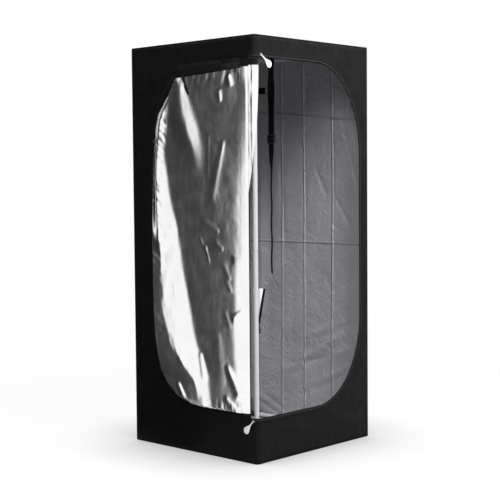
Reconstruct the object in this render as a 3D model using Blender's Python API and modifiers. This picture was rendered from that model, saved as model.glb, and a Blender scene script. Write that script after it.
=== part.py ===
"""Indoor grow tent, 0.6 x 0.6 x 1.4 m: a pole frame in plastic corner sockets under a sewn canvas box.

The D-shaped door in the front (-Y) face stands open, laid back over the left (-X) wall. Its cloth has three
lengths: a narrow hinge strip that turns the corner, the door panel with its folds, and a zip flap that lies
turned under behind the panel and draws out as the door shuts. Metres, +Z up, origin at the middle of the floor.
"""

import math

import bmesh
import bpy
from mathutils import Matrix, Vector

# Canvas box
TENT_WIDTH = 0.600
TENT_DEPTH = 0.600
TENT_HEIGHT = 1.400
CANVAS = 0.0015
CLOTH = 0.0012
SEAT = 0.0003
PIPING_R = 0.0022
CUT_OVERRUN = 0.010

# Frame of tubes in corner sockets
POLE_R = 0.008
POLE_WALL = 0.0008
NECK_LENGTH = 0.040
NECK_TAPER = 0.004
SOCKET_R = 0.0100
LIP_R = 0.0108
LIP_LENGTH = 0.006
SOCKET_REACH = 0.058
SOCKET_FLOOR = 0.0115
HUB_R = 0.0106

# Door opening, a D whose straight side is the hinge seam
DOOR_LOW = 0.152
DOOR_HEAD = 0.074
DOOR_SIDE = 0.058
DOOR_CORNER_WIDTH = 0.235
DOOR_CORNER_HEIGHT = 0.300
SEAM_SETBACK = 0.028
TAPE_WIDTH = 0.018
TAPE_OVERHANG = 0.005
TAPE_T = 0.0012
COIL_INSET = 0.0045
COIL_WIDTH = 0.003
COIL_HEIGHT = 0.0008
BINDING_WIDTH = 0.012
BINDING_T = 0.0015

# Door cloth as it hangs open
DRAW = 0.105
PANEL_OVERHANG = 0.0013
PANEL_LOW = 0.166
PANEL_DROP = 0.046
PANEL_RISE = 0.014
PANEL_TOP_CORNER = (0.137, 0.480)
PANEL_LOW_CORNER = (0.200, 0.385)
HEM_SIDE = 0.006
HEM_MARGIN = 0.0025
HEM_BAND = 0.008
FLAP_WIDTH = 0.125
FLAP_TAPE = 0.012
FLAP_CLEAR = 0.0015
LONG_FOLD_HEIGHT = 0.024
LONG_FOLD_SPREAD = 0.045
LONG_FOLD_FOOT = 0.161
LONG_FOLD_RUN = 0.245
LONG_FOLD_BEND = 0.300
APEX_FOLD_HEIGHT = 0.018
APEX_FOLD_SPREAD = 0.020
APEX_FOLD_START = 0.300
APEX_FOLD_LEAN = 0.240
APEX_FOLD_DROP = 0.340
HINGE_FOLD_HEIGHT = 0.002
HINGE_FOLD_PLACE = 0.064
HINGE_FOLD_SPREAD = 0.014
EDGE_ROLL = 0.045

# Cloth still zipped round the front corner above the open door
TUCK_DROP = 0.446
TUCK_FRONT = 0.017
TUCK_DRAWN_IN = 0.0013
TUCK_TOP_CLEAR = 0.002

# Zip sliders and their pulls
SLIDER_LENGTH = 0.014
SLIDER_WIDTH = 0.010
SLIDER_NOSE = 0.006
SLIDER_PLATE = 0.0012
SLIDER_OFFSET = 0.0085
TOP_SLIDER_SIDE = 0.028
STUD_R = 0.0012
STUD_CAP_R = 0.0024
STUD_CAP = 0.0008
PULL_T = 0.0016
PULL_EYE_R = 0.0040
PULL_NECK_WIDTH = 0.0040
PULL_NECK = 0.020
PULL_WIDTH = 0.024
PULL_LENGTH = 0.058
PULL_SWING_CLEAR = 0.002
TOP_PULL_LEAN = math.radians(53)
LOW_PULL_LEAN = math.radians(42)

# Stay that holds the open door's corner, and the tie at the front pole
STAY_WIDTH = 0.010
STAY_LENGTH = 0.090
STAY_T = 0.0012
STAY_INSET = 0.167
STAY_SLANT = 0.032
STAY_DROP = 0.014
STAY_CLEAR = 0.0005
SNAP_R = 0.006
SNAP_T = 0.003
RING_R = 0.009
RING_WIRE_R = 0.0016
RING_DROP = 0.210
RING_CLEAR = 0.0012
TIE_TOP = 0.575
TIE_LOW = 0.455
TIE_TOP_R = 0.038
TIE_LOW_R = 0.0091
TIE_START = math.radians(100)
TIE_FRONT = 0.006
TIE_CLOTH = 0.0010
TIE_CLEAR = 0.0007
TIE_STRAP_WIDTH = 0.010
TIE_STRAP_T = 0.0014
TIE_BUCKLE_WIDTH = 0.016
TIE_BUCKLE_HEIGHT = 0.024
TIE_BUCKLE_T = 0.0040
TIE_BUCKLE_BAR = 0.0035

# Hanging bar, its clips and the webbing strap
CLIP_R = 0.0106
CLIP_WIDTH = 0.022
CLIP_MOUTH = math.radians(100)
BAR_SOCKET = 0.034
STRAP_X = 0.112
STRAP_WIDTH = 0.025
STRAP_T = 0.0012
STRAP_PLY_GAP = 0.0010
STRAP_MEET = 0.046
STRAP_TWIST_START = 0.082
STRAP_TWIST_LENGTH = 0.128
STRAP_TURN = math.radians(-92)
TAIL_TURN = math.radians(-44)
TAIL_TWIST_LENGTH = 0.090
BUCKLE_DROP = 0.320
BUCKLE_HEIGHT = 0.032
BUCKLE_RAIL = 0.0040
BUCKLE_BAR = 0.0055
BUCKLE_PLATE = 0.0018
TAIL_DROP = 0.810
TAB_LENGTH = 0.012

# Back wall: duct sleeve, mesh vent and its flap
DUCT_R = 0.076
DUCT_DROP = 0.220
DUCT_FLANGE = 0.018
DUCT_LENGTH = 0.070
DUCT_DRAW_IN = 0.010
DUCT_HEM = 0.008
VENT_WIDTH = 0.260
VENT_HEIGHT = 0.130
VENT_Z = 0.200
VENT_COLUMNS = 10
VENT_ROWS = 5
NET_BAR = 0.005
NET_T = 0.0010
NET_BORDER = 0.008
FLAP_LAP = 0.018
VENT_FLAP_T = 0.0015
POLE_TAB_DROP = 0.125
POLE_TAB_HEIGHT = 0.024
POLE_TAB_LENGTH = 0.050
POLE_TAB_T = 0.0012

# Facets
ROUND_STEPS = 16
CORNER_STEPS = 5
D_STEPS = 9
DUCT_STEPS = 28
PANEL_COLUMNS = 15
PANEL_ROWS = 26
TWIST_STEPS = 12
STAY_STEPS = 6
NOTCH_STEPS = 6

HALF_X = TENT_WIDTH / 2
HALF_Y = TENT_DEPTH / 2
INSET = CANVAS + SEAT + LIP_R
POLE_X = HALF_X - INSET
POLE_Y = HALF_Y - INSET
FLOOR_AXIS = CANVAS + SEAT + LIP_R
ROOF_Z = TENT_HEIGHT - PIPING_R
ROOF_AXIS = ROOF_Z - CANVAS / 2 - SEAT - LIP_R
WALL_LOW = 2 * PIPING_R + SEAT
WALL_HIGH = TENT_HEIGHT - 2 * PIPING_R - SEAT
POLE_INNER = POLE_R - POLE_WALL
NECK_R = POLE_INNER - SEAT
SEAM_Y = -HALF_Y + SEAM_SETBACK
STANDOFF = SEAT + BINDING_T + SEAT + CLOTH / 2
STRIP_WIDTH = SEAM_SETBACK + STANDOFF
FOLD_Y = SEAM_Y + STRIP_WIDTH
TAPE_FACE = SEAT + TAPE_T
SLIDER_FACE = TAPE_FACE + COIL_HEIGHT + SEAT
PULL_FACE = SLIDER_FACE + SLIDER_PLATE + SEAT
BAR_Z = ROOF_AXIS
SPLIT_HEIGHT = TENT_HEIGHT / 2
DOOR_HIGH = TENT_HEIGHT - DOOR_HEAD
DOOR_FAR_X = HALF_X - DOOR_SIDE
PANEL_REACH = DOOR_FAR_X + HALF_X + STANDOFF - DRAW + PANEL_OVERHANG
PANEL_HIGH = DOOR_HIGH - PANEL_DROP
TUCK_LOW = DOOR_HIGH - TUCK_DROP
TOP_SLIDER_X = -HALF_X + TOP_SLIDER_SIDE
STAY_PLACE = PANEL_REACH - STAY_INSET
STAY_TOP = DOOR_HIGH - STAY_DROP
RING_Z = PANEL_HIGH - RING_DROP
STRAP_TWIST_TOP = TENT_HEIGHT - STRAP_TWIST_START
STRAP_TWIST_LOW = STRAP_TWIST_TOP - STRAP_TWIST_LENGTH
BUCKLE_Z = TENT_HEIGHT - BUCKLE_DROP
TAIL_END = TENT_HEIGHT - TAIL_DROP
DUCT_Z = TENT_HEIGHT - DUCT_DROP
POLE_TAB_Z = TENT_HEIGHT - POLE_TAB_DROP
UP = Vector((0, 0, 1))


def fresh_scene():
    for item in list(bpy.data.objects):
        bpy.data.objects.remove(item)
    for group in list(bpy.data.collections):
        bpy.data.collections.remove(group)


def collection(name):
    group = bpy.data.collections.new(name)
    bpy.context.scene.collection.children.link(group)
    return group


def finish(name, colour, roughness, metallic=0.0):
    made = bpy.data.materials.new(name)
    made.use_nodes = True
    shader = made.node_tree.nodes["Principled BSDF"]
    shader.inputs["Base Color"].default_value = (*colour, 1)
    shader.inputs["Roughness"].default_value = roughness
    shader.inputs["Metallic"].default_value = metallic
    made.diffuse_color = (*colour, 1)
    return made


def place(name, mesh, look, matrix=None, parent=None):
    """Puts a mesh in the tent's collection as the piece of that name."""
    item = bpy.data.objects.new(name, mesh)
    PARTS.objects.link(item)
    item.data.materials.append(LOOKS[look])
    if matrix is not None:
        item.matrix_world = matrix
    if parent is not None:
        item.parent = parent
        item.matrix_parent_inverse = parent.matrix_world.inverted()
    return item


def pivot(name, place_at):
    """An empty on a joint's axis, which carries the pieces that turn about it."""
    item = bpy.data.objects.new(name, None)
    PARTS.objects.link(item)
    item.matrix_world = Matrix.Translation(place_at)
    return item


def mesh_of(name, bm, smooth=True):
    bmesh.ops.recalc_face_normals(bm, faces=bm.faces)
    mesh = bpy.data.meshes.new(name)
    bm.to_mesh(mesh)
    bm.free()
    if smooth:
        mesh.shade_smooth()
        mesh.set_sharp_from_angle(angle=math.radians(35))
    return mesh


def prism(name, outline, frame, low, high):
    """A flat outline in the frame's first two axes, extruded between two heights of its third."""
    bm = bmesh.new()
    face = bm.faces.new([bm.verts.new(frame @ Vector((a, b, low))) for a, b in outline])
    lift = frame.to_3x3() @ Vector((0, 0, high - low))
    grown = bmesh.ops.extrude_face_region(bm, geom=[face], use_keep_orig=True)
    bmesh.ops.translate(bm, vec=lift, verts=[v for v in grown["geom"] if isinstance(v, bmesh.types.BMVert)])
    return mesh_of(name, bm)


def skin(name, rows):
    """A sheet through rows of points, left open for a wall thickness."""
    bm = bmesh.new()
    grid = [[bm.verts.new(p) for p in row] for row in rows]
    for near, far in zip(grid, grid[1:]):
        for a, b, c, d in zip(near, near[1:], far[1:], far):
            bm.faces.new((a, b, c, d))
    return mesh_of(name, bm)


def loft(name, sections):
    """A closed solid through like sections, capped at both ends."""
    bm = bmesh.new()
    rings = [[bm.verts.new(p) for p in ring] for ring in sections]
    for near, far in zip(rings, rings[1:]):
        for k, corner in enumerate(near):
            nxt = (k + 1) % len(near)
            bm.faces.new((corner, near[nxt], far[nxt], far[k]))
    bm.faces.new(rings[0])
    bm.faces.new(list(reversed(rings[-1])))
    return mesh_of(name, bm)


def thicken(item, thickness, offset=0.0):
    wall = item.modifiers.new("thickness", "SOLIDIFY")
    wall.thickness = thickness
    wall.offset = offset
    wall.use_even_offset = True
    return item


def turned(name, profile, steps=ROUND_STEPS, closed=True):
    """A profile of (radius, height), down its outer side, screwed round Z. An open profile ends on the axis."""
    mesh = bpy.data.meshes.new(name)
    edges = [(k, k + 1) for k in range(len(profile) - 1)]
    if closed:
        edges.append((len(profile) - 1, 0))
    mesh.from_pydata([(r, 0, h) for r, h in profile], edges, [])
    item = bpy.data.objects.new(name, mesh)
    GUIDES.objects.link(item)
    spin = item.modifiers.new("turn", "SCREW")
    spin.steps = spin.render_steps = steps
    spin.use_merge_vertices = True
    spin.merge_threshold = 0.00005
    bpy.context.view_layer.update()
    made = bpy.data.meshes.new_from_object(item.evaluated_get(bpy.context.evaluated_depsgraph_get()))
    bpy.data.objects.remove(item)
    bm = bmesh.new()
    bm.from_mesh(made)
    bpy.data.meshes.remove(made)
    return mesh_of(name, bm)


def guide(name, mesh, matrix=None):
    item = bpy.data.objects.new(name, mesh)
    GUIDES.objects.link(item)
    item.hide_render = True
    item.display_type = "WIRE"
    if matrix is not None:
        item.matrix_world = matrix
    return item


def combine(item, tool, operation):
    step = item.modifiers.new(tool.name, "BOOLEAN")
    step.operation = operation
    step.object = tool
    return item


def solid_of(item):
    """The item's mesh with its modifiers worked in, for pieces that share it."""
    bpy.context.view_layer.update()
    made = bpy.data.meshes.new_from_object(item.evaluated_get(bpy.context.evaluated_depsgraph_get()))
    made.materials.clear()
    return made


def along(start, direction):
    """A frame at start whose Z runs along direction."""
    return Matrix.Translation(start) @ direction.to_track_quat("Z", "Y").to_matrix().to_4x4()


def arc(centre, radius, start, end, steps):
    """Points on an arc of the plane, both ends included. The radius is a pair on an ellipse."""
    wide, high = radius if isinstance(radius, tuple) else (radius, radius)
    angles = [start + (end - start) * k / steps for k in range(steps + 1)]
    return [(centre[0] + wide * math.cos(t), centre[1] + high * math.sin(t)) for t in angles]


def smooth(value):
    value = min(max(value, 0), 1)
    return value * value * (3 - 2 * value)


def tube(name, start, direction, length, look="pole", neck=False, parent=None):
    """A steel tube, open at both ends. A neck at its start fits the bore of the tube below."""
    if neck:
        shoulder = NECK_LENGTH + NECK_TAPER
        profile = [
            (POLE_R, length),
            (POLE_R, shoulder),
            (NECK_R, NECK_LENGTH),
            (NECK_R, 0),
            (NECK_R - POLE_WALL, 0),
            (NECK_R - POLE_WALL, NECK_LENGTH),
            (POLE_INNER, shoulder),
            (POLE_INNER, length),
        ]
    else:
        profile = [(POLE_R, length), (POLE_R, 0), (POLE_INNER, 0), (POLE_INNER, length)]
    return place(name, turned(name, profile), look, along(start, direction), parent)


def corner_socket_mesh():
    """Three sockets at right angles on a round hub, each bored for a tube's end."""
    outer = [
        (0, SOCKET_REACH),
        (LIP_R, SOCKET_REACH),
        (LIP_R, SOCKET_REACH - LIP_LENGTH),
        (SOCKET_R, SOCKET_REACH - LIP_LENGTH - (LIP_R - SOCKET_R)),
        (SOCKET_R, 0),
        (0, 0),
    ]
    arm = turned("socket_arm", outer, closed=False)
    bore_r = POLE_R + SEAT
    bore_top = SOCKET_REACH + CUT_OVERRUN
    bore = turned("socket_bore", [(0, bore_top), (bore_r, bore_top), (bore_r, SOCKET_FLOOR), (0, SOCKET_FLOOR)], closed=False)
    hub_profile = [(r, h) for h, r in arc((0, 0), HUB_R, 0, math.pi, ROUND_STEPS // 2)]
    hub_profile[0] = (0, HUB_R)
    hub_profile[-1] = (0, -HUB_R)
    body = guide("socket_hub", turned("socket_hub", hub_profile, closed=False))
    ways = (Vector((1, 0, 0)), Vector((0, 1, 0)), UP)
    for k, way in enumerate(ways):
        combine(body, guide(f"socket_arm_{k}", arm, along(Vector(), way)), "UNION")
    for k, way in enumerate(ways):
        combine(body, guide(f"socket_bore_{k}", bore, along(Vector(), way)), "DIFFERENCE")
    return solid_of(body)


def corners():
    """Each upright corner: its name, its sides of X and Y, and its quarter turn from the front left one."""
    return (
        ("front_left", -1, -1, 0),
        ("front_right", 1, -1, 1),
        ("back_right", 1, 1, 2),
        ("back_left", -1, 1, 3),
    )


def frame_of_poles():
    """Eight sockets, four uprights in two lengths, and a bar along each edge of the floor and the roof."""
    socket = corner_socket_mesh()
    quarter = math.pi / 2
    upright_low = FLOOR_AXIS + SOCKET_FLOOR + SEAT
    upright_high = ROOF_AXIS - SOCKET_FLOOR - SEAT
    for name, side_x, side_y, turns in corners():
        foot = Vector((side_x * POLE_X, side_y * POLE_Y, 0))
        turn = Matrix.Rotation(turns * quarter, 4, "Z")
        low = Matrix.Translation(foot + UP * FLOOR_AXIS) @ turn
        place(f"floor_socket_{name}", socket, "plastic", low)
        turn = Matrix.Rotation((turns + 1) * quarter, 4, "Z") @ Matrix.Rotation(math.pi, 4, "X")
        high = Matrix.Translation(foot + UP * ROOF_AXIS) @ turn
        place(f"roof_socket_{name}", socket, "plastic", high)
        tube(f"upright_lower_{name}", foot + UP * upright_low, UP, SPLIT_HEIGHT - upright_low)
        neck_foot = SPLIT_HEIGHT - NECK_LENGTH
        tube(f"upright_upper_{name}", foot + UP * neck_foot, UP, upright_high - neck_foot, neck=True)
    reach = SOCKET_FLOOR + SEAT
    for level, height in (("floor", FLOOR_AXIS), ("roof", ROOF_AXIS)):
        for side, sign in (("front", -1), ("back", 1)):
            start = Vector((-POLE_X + reach, sign * POLE_Y, height))
            tube(f"{level}_bar_{side}", start, Vector((1, 0, 0)), 2 * (POLE_X - reach))
        for side, sign in (("left", -1), ("right", 1)):
            start = Vector((sign * POLE_X, -POLE_Y + reach, height))
            tube(f"{level}_bar_{side}", start, Vector((0, 1, 0)), 2 * (POLE_Y - reach))


def wall(name, turn, run, look="canvas"):
    """One side of the box and the rounded corner at its right-hand end, as seen from outside."""
    straight = run / 2 - INSET
    outer = [(-straight + SEAT, 0)] + arc((straight, INSET), INSET, -math.pi / 2, 0, CORNER_STEPS)
    inner_r = INSET - CANVAS
    inner = [(-straight + SEAT, CANVAS)] + arc((straight, INSET), inner_r, -math.pi / 2, 0, CORNER_STEPS)
    outline = outer + list(reversed(inner))
    return place(name, prism(name, outline, turn, WALL_LOW, WALL_HIGH), look)


def side_frame(angle, half):
    """The plan frame of a wall: its first axis runs along the wall, its second points into the tent."""
    return Matrix.Rotation(angle, 4, "Z") @ Matrix.Translation((0, -half, 0))


def d_path(spread=0.0, start_x=None):
    """The door opening's outline in (x, z), from its straight side round the top, grown by spread."""
    corner = (DOOR_CORNER_WIDTH, DOOR_CORNER_HEIGHT)
    near = -POLE_X if start_x is None else start_x
    points = [(near, DOOR_HIGH + spread)]
    for centre_z, start, end in (
        (DOOR_HIGH - DOOR_CORNER_HEIGHT, math.pi / 2, 0),
        (DOOR_LOW + DOOR_CORNER_HEIGHT, 0, -math.pi / 2),
    ):
        for k in range(D_STEPS + 1):
            t = start + (end - start) * k / D_STEPS
            x = DOOR_FAR_X - DOOR_CORNER_WIDTH + corner[0] * math.cos(t)
            z = centre_z + corner[1] * math.sin(t)
            out = Vector((math.cos(t) / corner[0], math.sin(t) / corner[1])).normalized()
            points.append((x + out.x * spread, z + out.y * spread))
    points.append((near, DOOR_LOW - spread))
    return points


def canvas_box():
    """Four walls, roof and floor, with the cuts that the door, the duct and the vent need."""
    front = wall("front_panel", side_frame(0, HALF_Y), TENT_WIDTH)
    right = wall("side_wall_right", side_frame(math.pi / 2, HALF_X), TENT_DEPTH)
    back = wall("back_wall", side_frame(math.pi, HALF_Y), TENT_WIDTH)
    left = wall("side_wall_left", side_frame(-math.pi / 2, HALF_X), TENT_DEPTH)
    right.name = "side_wall_right"

    facing = Matrix.Rotation(math.pi / 2, 4, "X")
    opening = d_path(TAPE_OVERHANG, -HALF_X - CUT_OVERRUN)
    cut = prism("door_cut", opening, facing, HALF_Y - INSET, HALF_Y + CUT_OVERRUN)
    combine(front, guide("door_cut", cut), "DIFFERENCE")
    notch_low = DOOR_LOW - TAPE_OVERHANG
    notch_high = DOOR_HIGH + TAPE_OVERHANG
    notch = [
        (-HALF_X - CUT_OVERRUN, -HALF_Y - CUT_OVERRUN),
        (-POLE_X + CUT_OVERRUN, -HALF_Y - CUT_OVERRUN),
        (-POLE_X + CUT_OVERRUN, SEAM_Y),
        (-HALF_X - CUT_OVERRUN, SEAM_Y),
    ]
    combine(left, guide("seam_cut", prism("seam_cut", notch, Matrix(), notch_low, notch_high)), "DIFFERENCE")

    duct = turned("duct_cut", [(0, CUT_OVERRUN), (DUCT_R, CUT_OVERRUN), (DUCT_R, -CUT_OVERRUN), (0, -CUT_OVERRUN)],
                  DUCT_STEPS, closed=False)
    combine(back, guide("duct_cut", duct, along(Vector((0, HALF_Y, DUCT_Z)), Vector((0, 1, 0)))), "DIFFERENCE")
    vent = rectangle(VENT_WIDTH, VENT_HEIGHT, 0, VENT_Z)
    combine(back, guide("vent_cut", prism("vent_cut", vent, facing, -HALF_Y - CUT_OVERRUN, -HALF_Y + INSET)), "DIFFERENCE")

    edge = 2 * PIPING_R + SEAT
    corner_r = INSET - edge
    plan = rounded_plan(HALF_X - edge, HALF_Y - edge, corner_r)
    place("roof_panel", prism("roof_panel", plan, Matrix(), ROOF_Z - CANVAS / 2, ROOF_Z + CANVAS / 2), "canvas")
    place("floor_panel", prism("floor_panel", plan, Matrix(), 0, CANVAS), "canvas")
    for name, height in (("roof_piping", TENT_HEIGHT - PIPING_R), ("floor_piping", PIPING_R)):
        piping(name, height)


def rectangle(width, height, centre_a, centre_b):
    a, b = width / 2, height / 2
    return [(centre_a - a, centre_b - b), (centre_a + a, centre_b - b), (centre_a + a, centre_b + b), (centre_a - a, centre_b + b)]


def rounded_plan(half_x, half_y, radius):
    points = []
    for k, (side_x, side_y) in enumerate(((1, 1), (-1, 1), (-1, -1), (1, -1))):
        centre = (side_x * (half_x - radius), side_y * (half_y - radius))
        start = k * math.pi / 2
        points += arc(centre, radius, start, start + math.pi / 2, CORNER_STEPS)
    return points


def piping(name, height):
    """Corded piping round an edge of the box, one closed ring."""
    plan = rounded_plan(HALF_X - PIPING_R, HALF_Y - PIPING_R, INSET - PIPING_R)
    line = bpy.data.curves.new(name, "CURVE")
    line.dimensions = "3D"
    line.bevel_depth = PIPING_R
    line.bevel_resolution = 1
    spline = line.splines.new("POLY")
    spline.points.add(len(plan) - 1)
    for point, (x, y) in zip(spline.points, plan):
        point.co = (x, y, height, 1)
    spline.use_cyclic_u = True
    place(name, line, "webbing")


def zip_tape():
    """The wall's half of the zip: a tape round the opening with its coil, from the hinge seam and back to it."""
    section_shape = (
        (0, 0),
        (TAPE_WIDTH, 0),
        (TAPE_WIDTH, TAPE_T),
        (COIL_INSET + COIL_WIDTH, TAPE_T),
        (COIL_INSET + COIL_WIDTH / 2, TAPE_T + COIL_HEIGHT),
        (COIL_INSET, TAPE_T),
        (0, TAPE_T),
    )
    sections = []
    turn_steps = [math.pi + math.pi / 2 * k / CORNER_STEPS for k in range(CORNER_STEPS + 1)]

    def wrapped(y_or_angle, z, lift):
        """Sections on the left wall and round the corner, where away from the opening is up or down."""
        ring = []
        for off, proud in section_shape:
            if y_or_angle[0] == "wall":
                ring.append((-HALF_X - SEAT - proud, y_or_angle[1], z + lift * off))
            else:
                reach = INSET + SEAT + proud
                angle = y_or_angle[1]
                ring.append((-POLE_X + reach * math.cos(angle), -POLE_Y + reach * math.sin(angle), z + lift * off))
        return ring

    sections.append(wrapped(("wall", SEAM_Y - SEAT), DOOR_HIGH, 1))
    sections += [wrapped(("corner", t), DOOR_HIGH, 1) for t in turn_steps]
    inner = d_path(0.0)
    outer = d_path(TAPE_WIDTH)
    for (x0, z0), (x1, z1) in list(zip(inner, outer))[1:-1]:
        way = (Vector((x1, z1)) - Vector((x0, z0))).normalized()
        sections.append([(x0 + way.x * off, -HALF_Y - SEAT - proud, z0 + way.y * off) for off, proud in section_shape])
    sections += [wrapped(("corner", t), DOOR_LOW, -1) for t in reversed(turn_steps)]
    sections.append(wrapped(("wall", SEAM_Y - SEAT), DOOR_LOW, -1))
    place("wall_zip_tape", loft("wall_zip_tape", sections), "webbing")


def door_point(s, z, proud):
    """A point of the open door: s back from the fold at the strip's edge, proud of the door's own plane."""
    return Vector((-HALF_X - STANDOFF - proud, FOLD_Y + s, z))


def panel_far(share):
    """The height and the reach of the panel's free edge, at a share of its height."""
    z = PANEL_LOW + (PANEL_HIGH - PANEL_LOW) * share
    reach = PANEL_REACH
    top = z - (PANEL_HIGH - PANEL_TOP_CORNER[1])
    low = (PANEL_LOW + PANEL_LOW_CORNER[1]) - z
    for over, (wide, high) in ((top, PANEL_TOP_CORNER), (low, PANEL_LOW_CORNER)):
        if over > 0:
            reach = PANEL_REACH - wide + wide * math.sqrt(max(1 - (over / high) ** 2, 0))
    return z, reach


def pull_notch(s):
    """The height that the door keeps under by its hinge, so that the upper pull can hang at any angle there."""
    stud_s = TOP_SLIDER_X + HALF_X + STANDOFF
    swing = PULL_LENGTH + PULL_SWING_CLEAR
    off = max(s - stud_s, 0)
    stud_z = DOOR_HIGH + SLIDER_OFFSET
    return stud_z - math.sqrt(swing**2 - off**2) if off < swing else DOOR_HIGH


def panel_top(s):
    """The panel's own top edge: a low slant, and under the notch by the hinge."""
    return min(PANEL_HIGH + PANEL_RISE * (1 - s / PANEL_REACH), pull_notch(s) - HEM_BAND)


def panel_stops(reach):
    """Where the panel's columns stand between its hem at the hinge and its free edge."""
    start = HEM_SIDE + SEAT
    return [start + (reach - start) * k / PANEL_COLUMNS for k in range(PANEL_COLUMNS + 1)]


def panel_proud(s, z, reach):
    """How far the hanging panel stands out: a long fold to the foot, one from the apex, one by the hinge."""
    long_place = LONG_FOLD_FOOT + LONG_FOLD_RUN * (1 - math.exp(-(z - PANEL_LOW) / LONG_FOLD_BEND))
    long_fold = math.exp(-(((s - long_place) / LONG_FOLD_SPREAD) ** 2))
    long_fold *= smooth((PANEL_HIGH - z) / APEX_FOLD_DROP)
    down = (PANEL_HIGH - z) / APEX_FOLD_DROP
    apex_place = APEX_FOLD_START - APEX_FOLD_LEAN * (PANEL_HIGH - z)
    apex_fold = math.exp(-(((s - apex_place) / (APEX_FOLD_SPREAD * (1 + down))) ** 2)) * smooth(1 - down)
    hinge_fold = math.exp(-(((s - HINGE_FOLD_PLACE) / HINGE_FOLD_SPREAD) ** 2))
    roll = smooth((reach - s) / EDGE_ROLL)
    ends = smooth((z - PANEL_LOW) / EDGE_ROLL) * smooth((PANEL_HIGH - z) / EDGE_ROLL)
    proud = (LONG_FOLD_HEIGHT * long_fold + APEX_FOLD_HEIGHT * apex_fold) * roll * ends
    return CLOTH + SEAT + proud + HINGE_FOLD_HEIGHT * hinge_fold * ends


def door_rows():
    rows = []
    for j in range(PANEL_ROWS + 1):
        share = (1 - math.cos(math.pi * j / PANEL_ROWS)) / 2
        z, reach = panel_far(share)
        row = []
        for s in panel_stops(reach):
            height = PANEL_LOW + (panel_top(s) - PANEL_LOW) * share
            row.append(door_point(s, height, panel_proud(s, z, reach)))
        rows.append(row)
    return rows


def hem_outline():
    """The black hem above, below and along the fold of the panel, as one open frame."""
    low, high = DOOR_LOW + HEM_MARGIN, DOOR_HIGH - HEM_MARGIN
    low_in = PANEL_LOW - CLOTH
    far_top = PANEL_REACH - PANEL_TOP_CORNER[0]
    far_low = PANEL_REACH - PANEL_LOW_CORNER[0]
    stud_s = TOP_SLIDER_X + HALF_X + STANDOFF
    swing = PULL_LENGTH + PULL_SWING_CLEAR
    stops = [CLOTH] + [stud_s + swing * math.sin(math.pi / 2 * k / NOTCH_STEPS) for k in range(NOTCH_STEPS)]
    rim = [(s, pull_notch(s)) for s in stops] + [(stud_s + swing, high)]
    under = [(s, panel_top(s) + CLOTH) for s in panel_stops(far_top)[1:]]
    inner = [(HEM_SIDE, low_in), (HEM_SIDE, panel_top(HEM_SIDE) + CLOTH)] + under
    return [(CLOTH, low), (far_low, low), (far_low, low_in)] + inner + [(far_top, high)] + rim[::-1]


def band(name, inner, outer, proud, look, parent):
    """A flat band between two like outlines of the door's plane."""
    rows = [[door_point(x, z, proud) for x, z in line] for line in (inner, outer)]
    return thicken(place(name, skin(name, rows), look, parent=parent), CLOTH)


def door():
    """Hinge strip, panel with its hem, and the zip flap turned under behind the panel."""
    turn = pivot("door_turn", (-HALF_X - STANDOFF, SEAM_Y, 0))
    fold = pivot("door_fold", (-HALF_X - STANDOFF, FOLD_Y, 0))
    fold.parent = turn
    fold.matrix_parent_inverse = turn.matrix_world.inverted()

    low, high = DOOR_LOW + HEM_MARGIN, DOOR_HIGH - HEM_MARGIN
    rows = [[door_point(s, z, 0) for s in (-STRIP_WIDTH + SEAT, -SEAT)] for z in (low, high)]
    thicken(place("door_hinge_strip", skin("door_hinge_strip", rows), "silver", parent=turn), CLOTH)

    thicken(place("door_panel", skin("door_panel", door_rows()), "silver", parent=fold), CLOTH)
    facing = Matrix(((0, 0, 1, -HALF_X - STANDOFF), (1, 0, 0, FOLD_Y), (0, 1, 0, 0), (0, 0, 0, 1)))
    hem_low = -(CLOTH + SEAT + CLOTH / 2)
    hem = prism("door_hem", hem_outline(), facing, hem_low, hem_low + CLOTH)
    place("door_hem", hem, "webbing", parent=fold)

    shift = HALF_X + STANDOFF - DRAW
    start_x = HEM_SIDE - shift
    lines = [
        [(x + shift, z) for x, z in d_path(spread, start_x)]
        for spread in (FLAP_CLEAR, FLAP_CLEAR - FLAP_TAPE, FLAP_CLEAR - FLAP_TAPE - SEAT, FLAP_CLEAR - FLAP_WIDTH)
    ]
    band("door_zip_tape", lines[1], lines[0], 0, "webbing", fold)
    band("door_zip_flap", lines[3], lines[2], 0, "canvas", fold)

    binding = rectangle(BINDING_WIDTH, DOOR_HIGH - DOOR_LOW, SEAM_Y + BINDING_WIDTH / 2 + SEAT, (DOOR_HIGH + DOOR_LOW) / 2)
    sideways = Matrix(((0, 0, 1, 0), (1, 0, 0, 0), (0, 1, 0, 0), (0, 0, 0, 1)))
    mesh = prism("hinge_seam_binding", binding, sideways, -HALF_X - SEAT - BINDING_T, -HALF_X - SEAT)
    place("hinge_seam_binding", mesh, "webbing")

    stay(fold)
    ring(fold)
    tuck()


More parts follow.
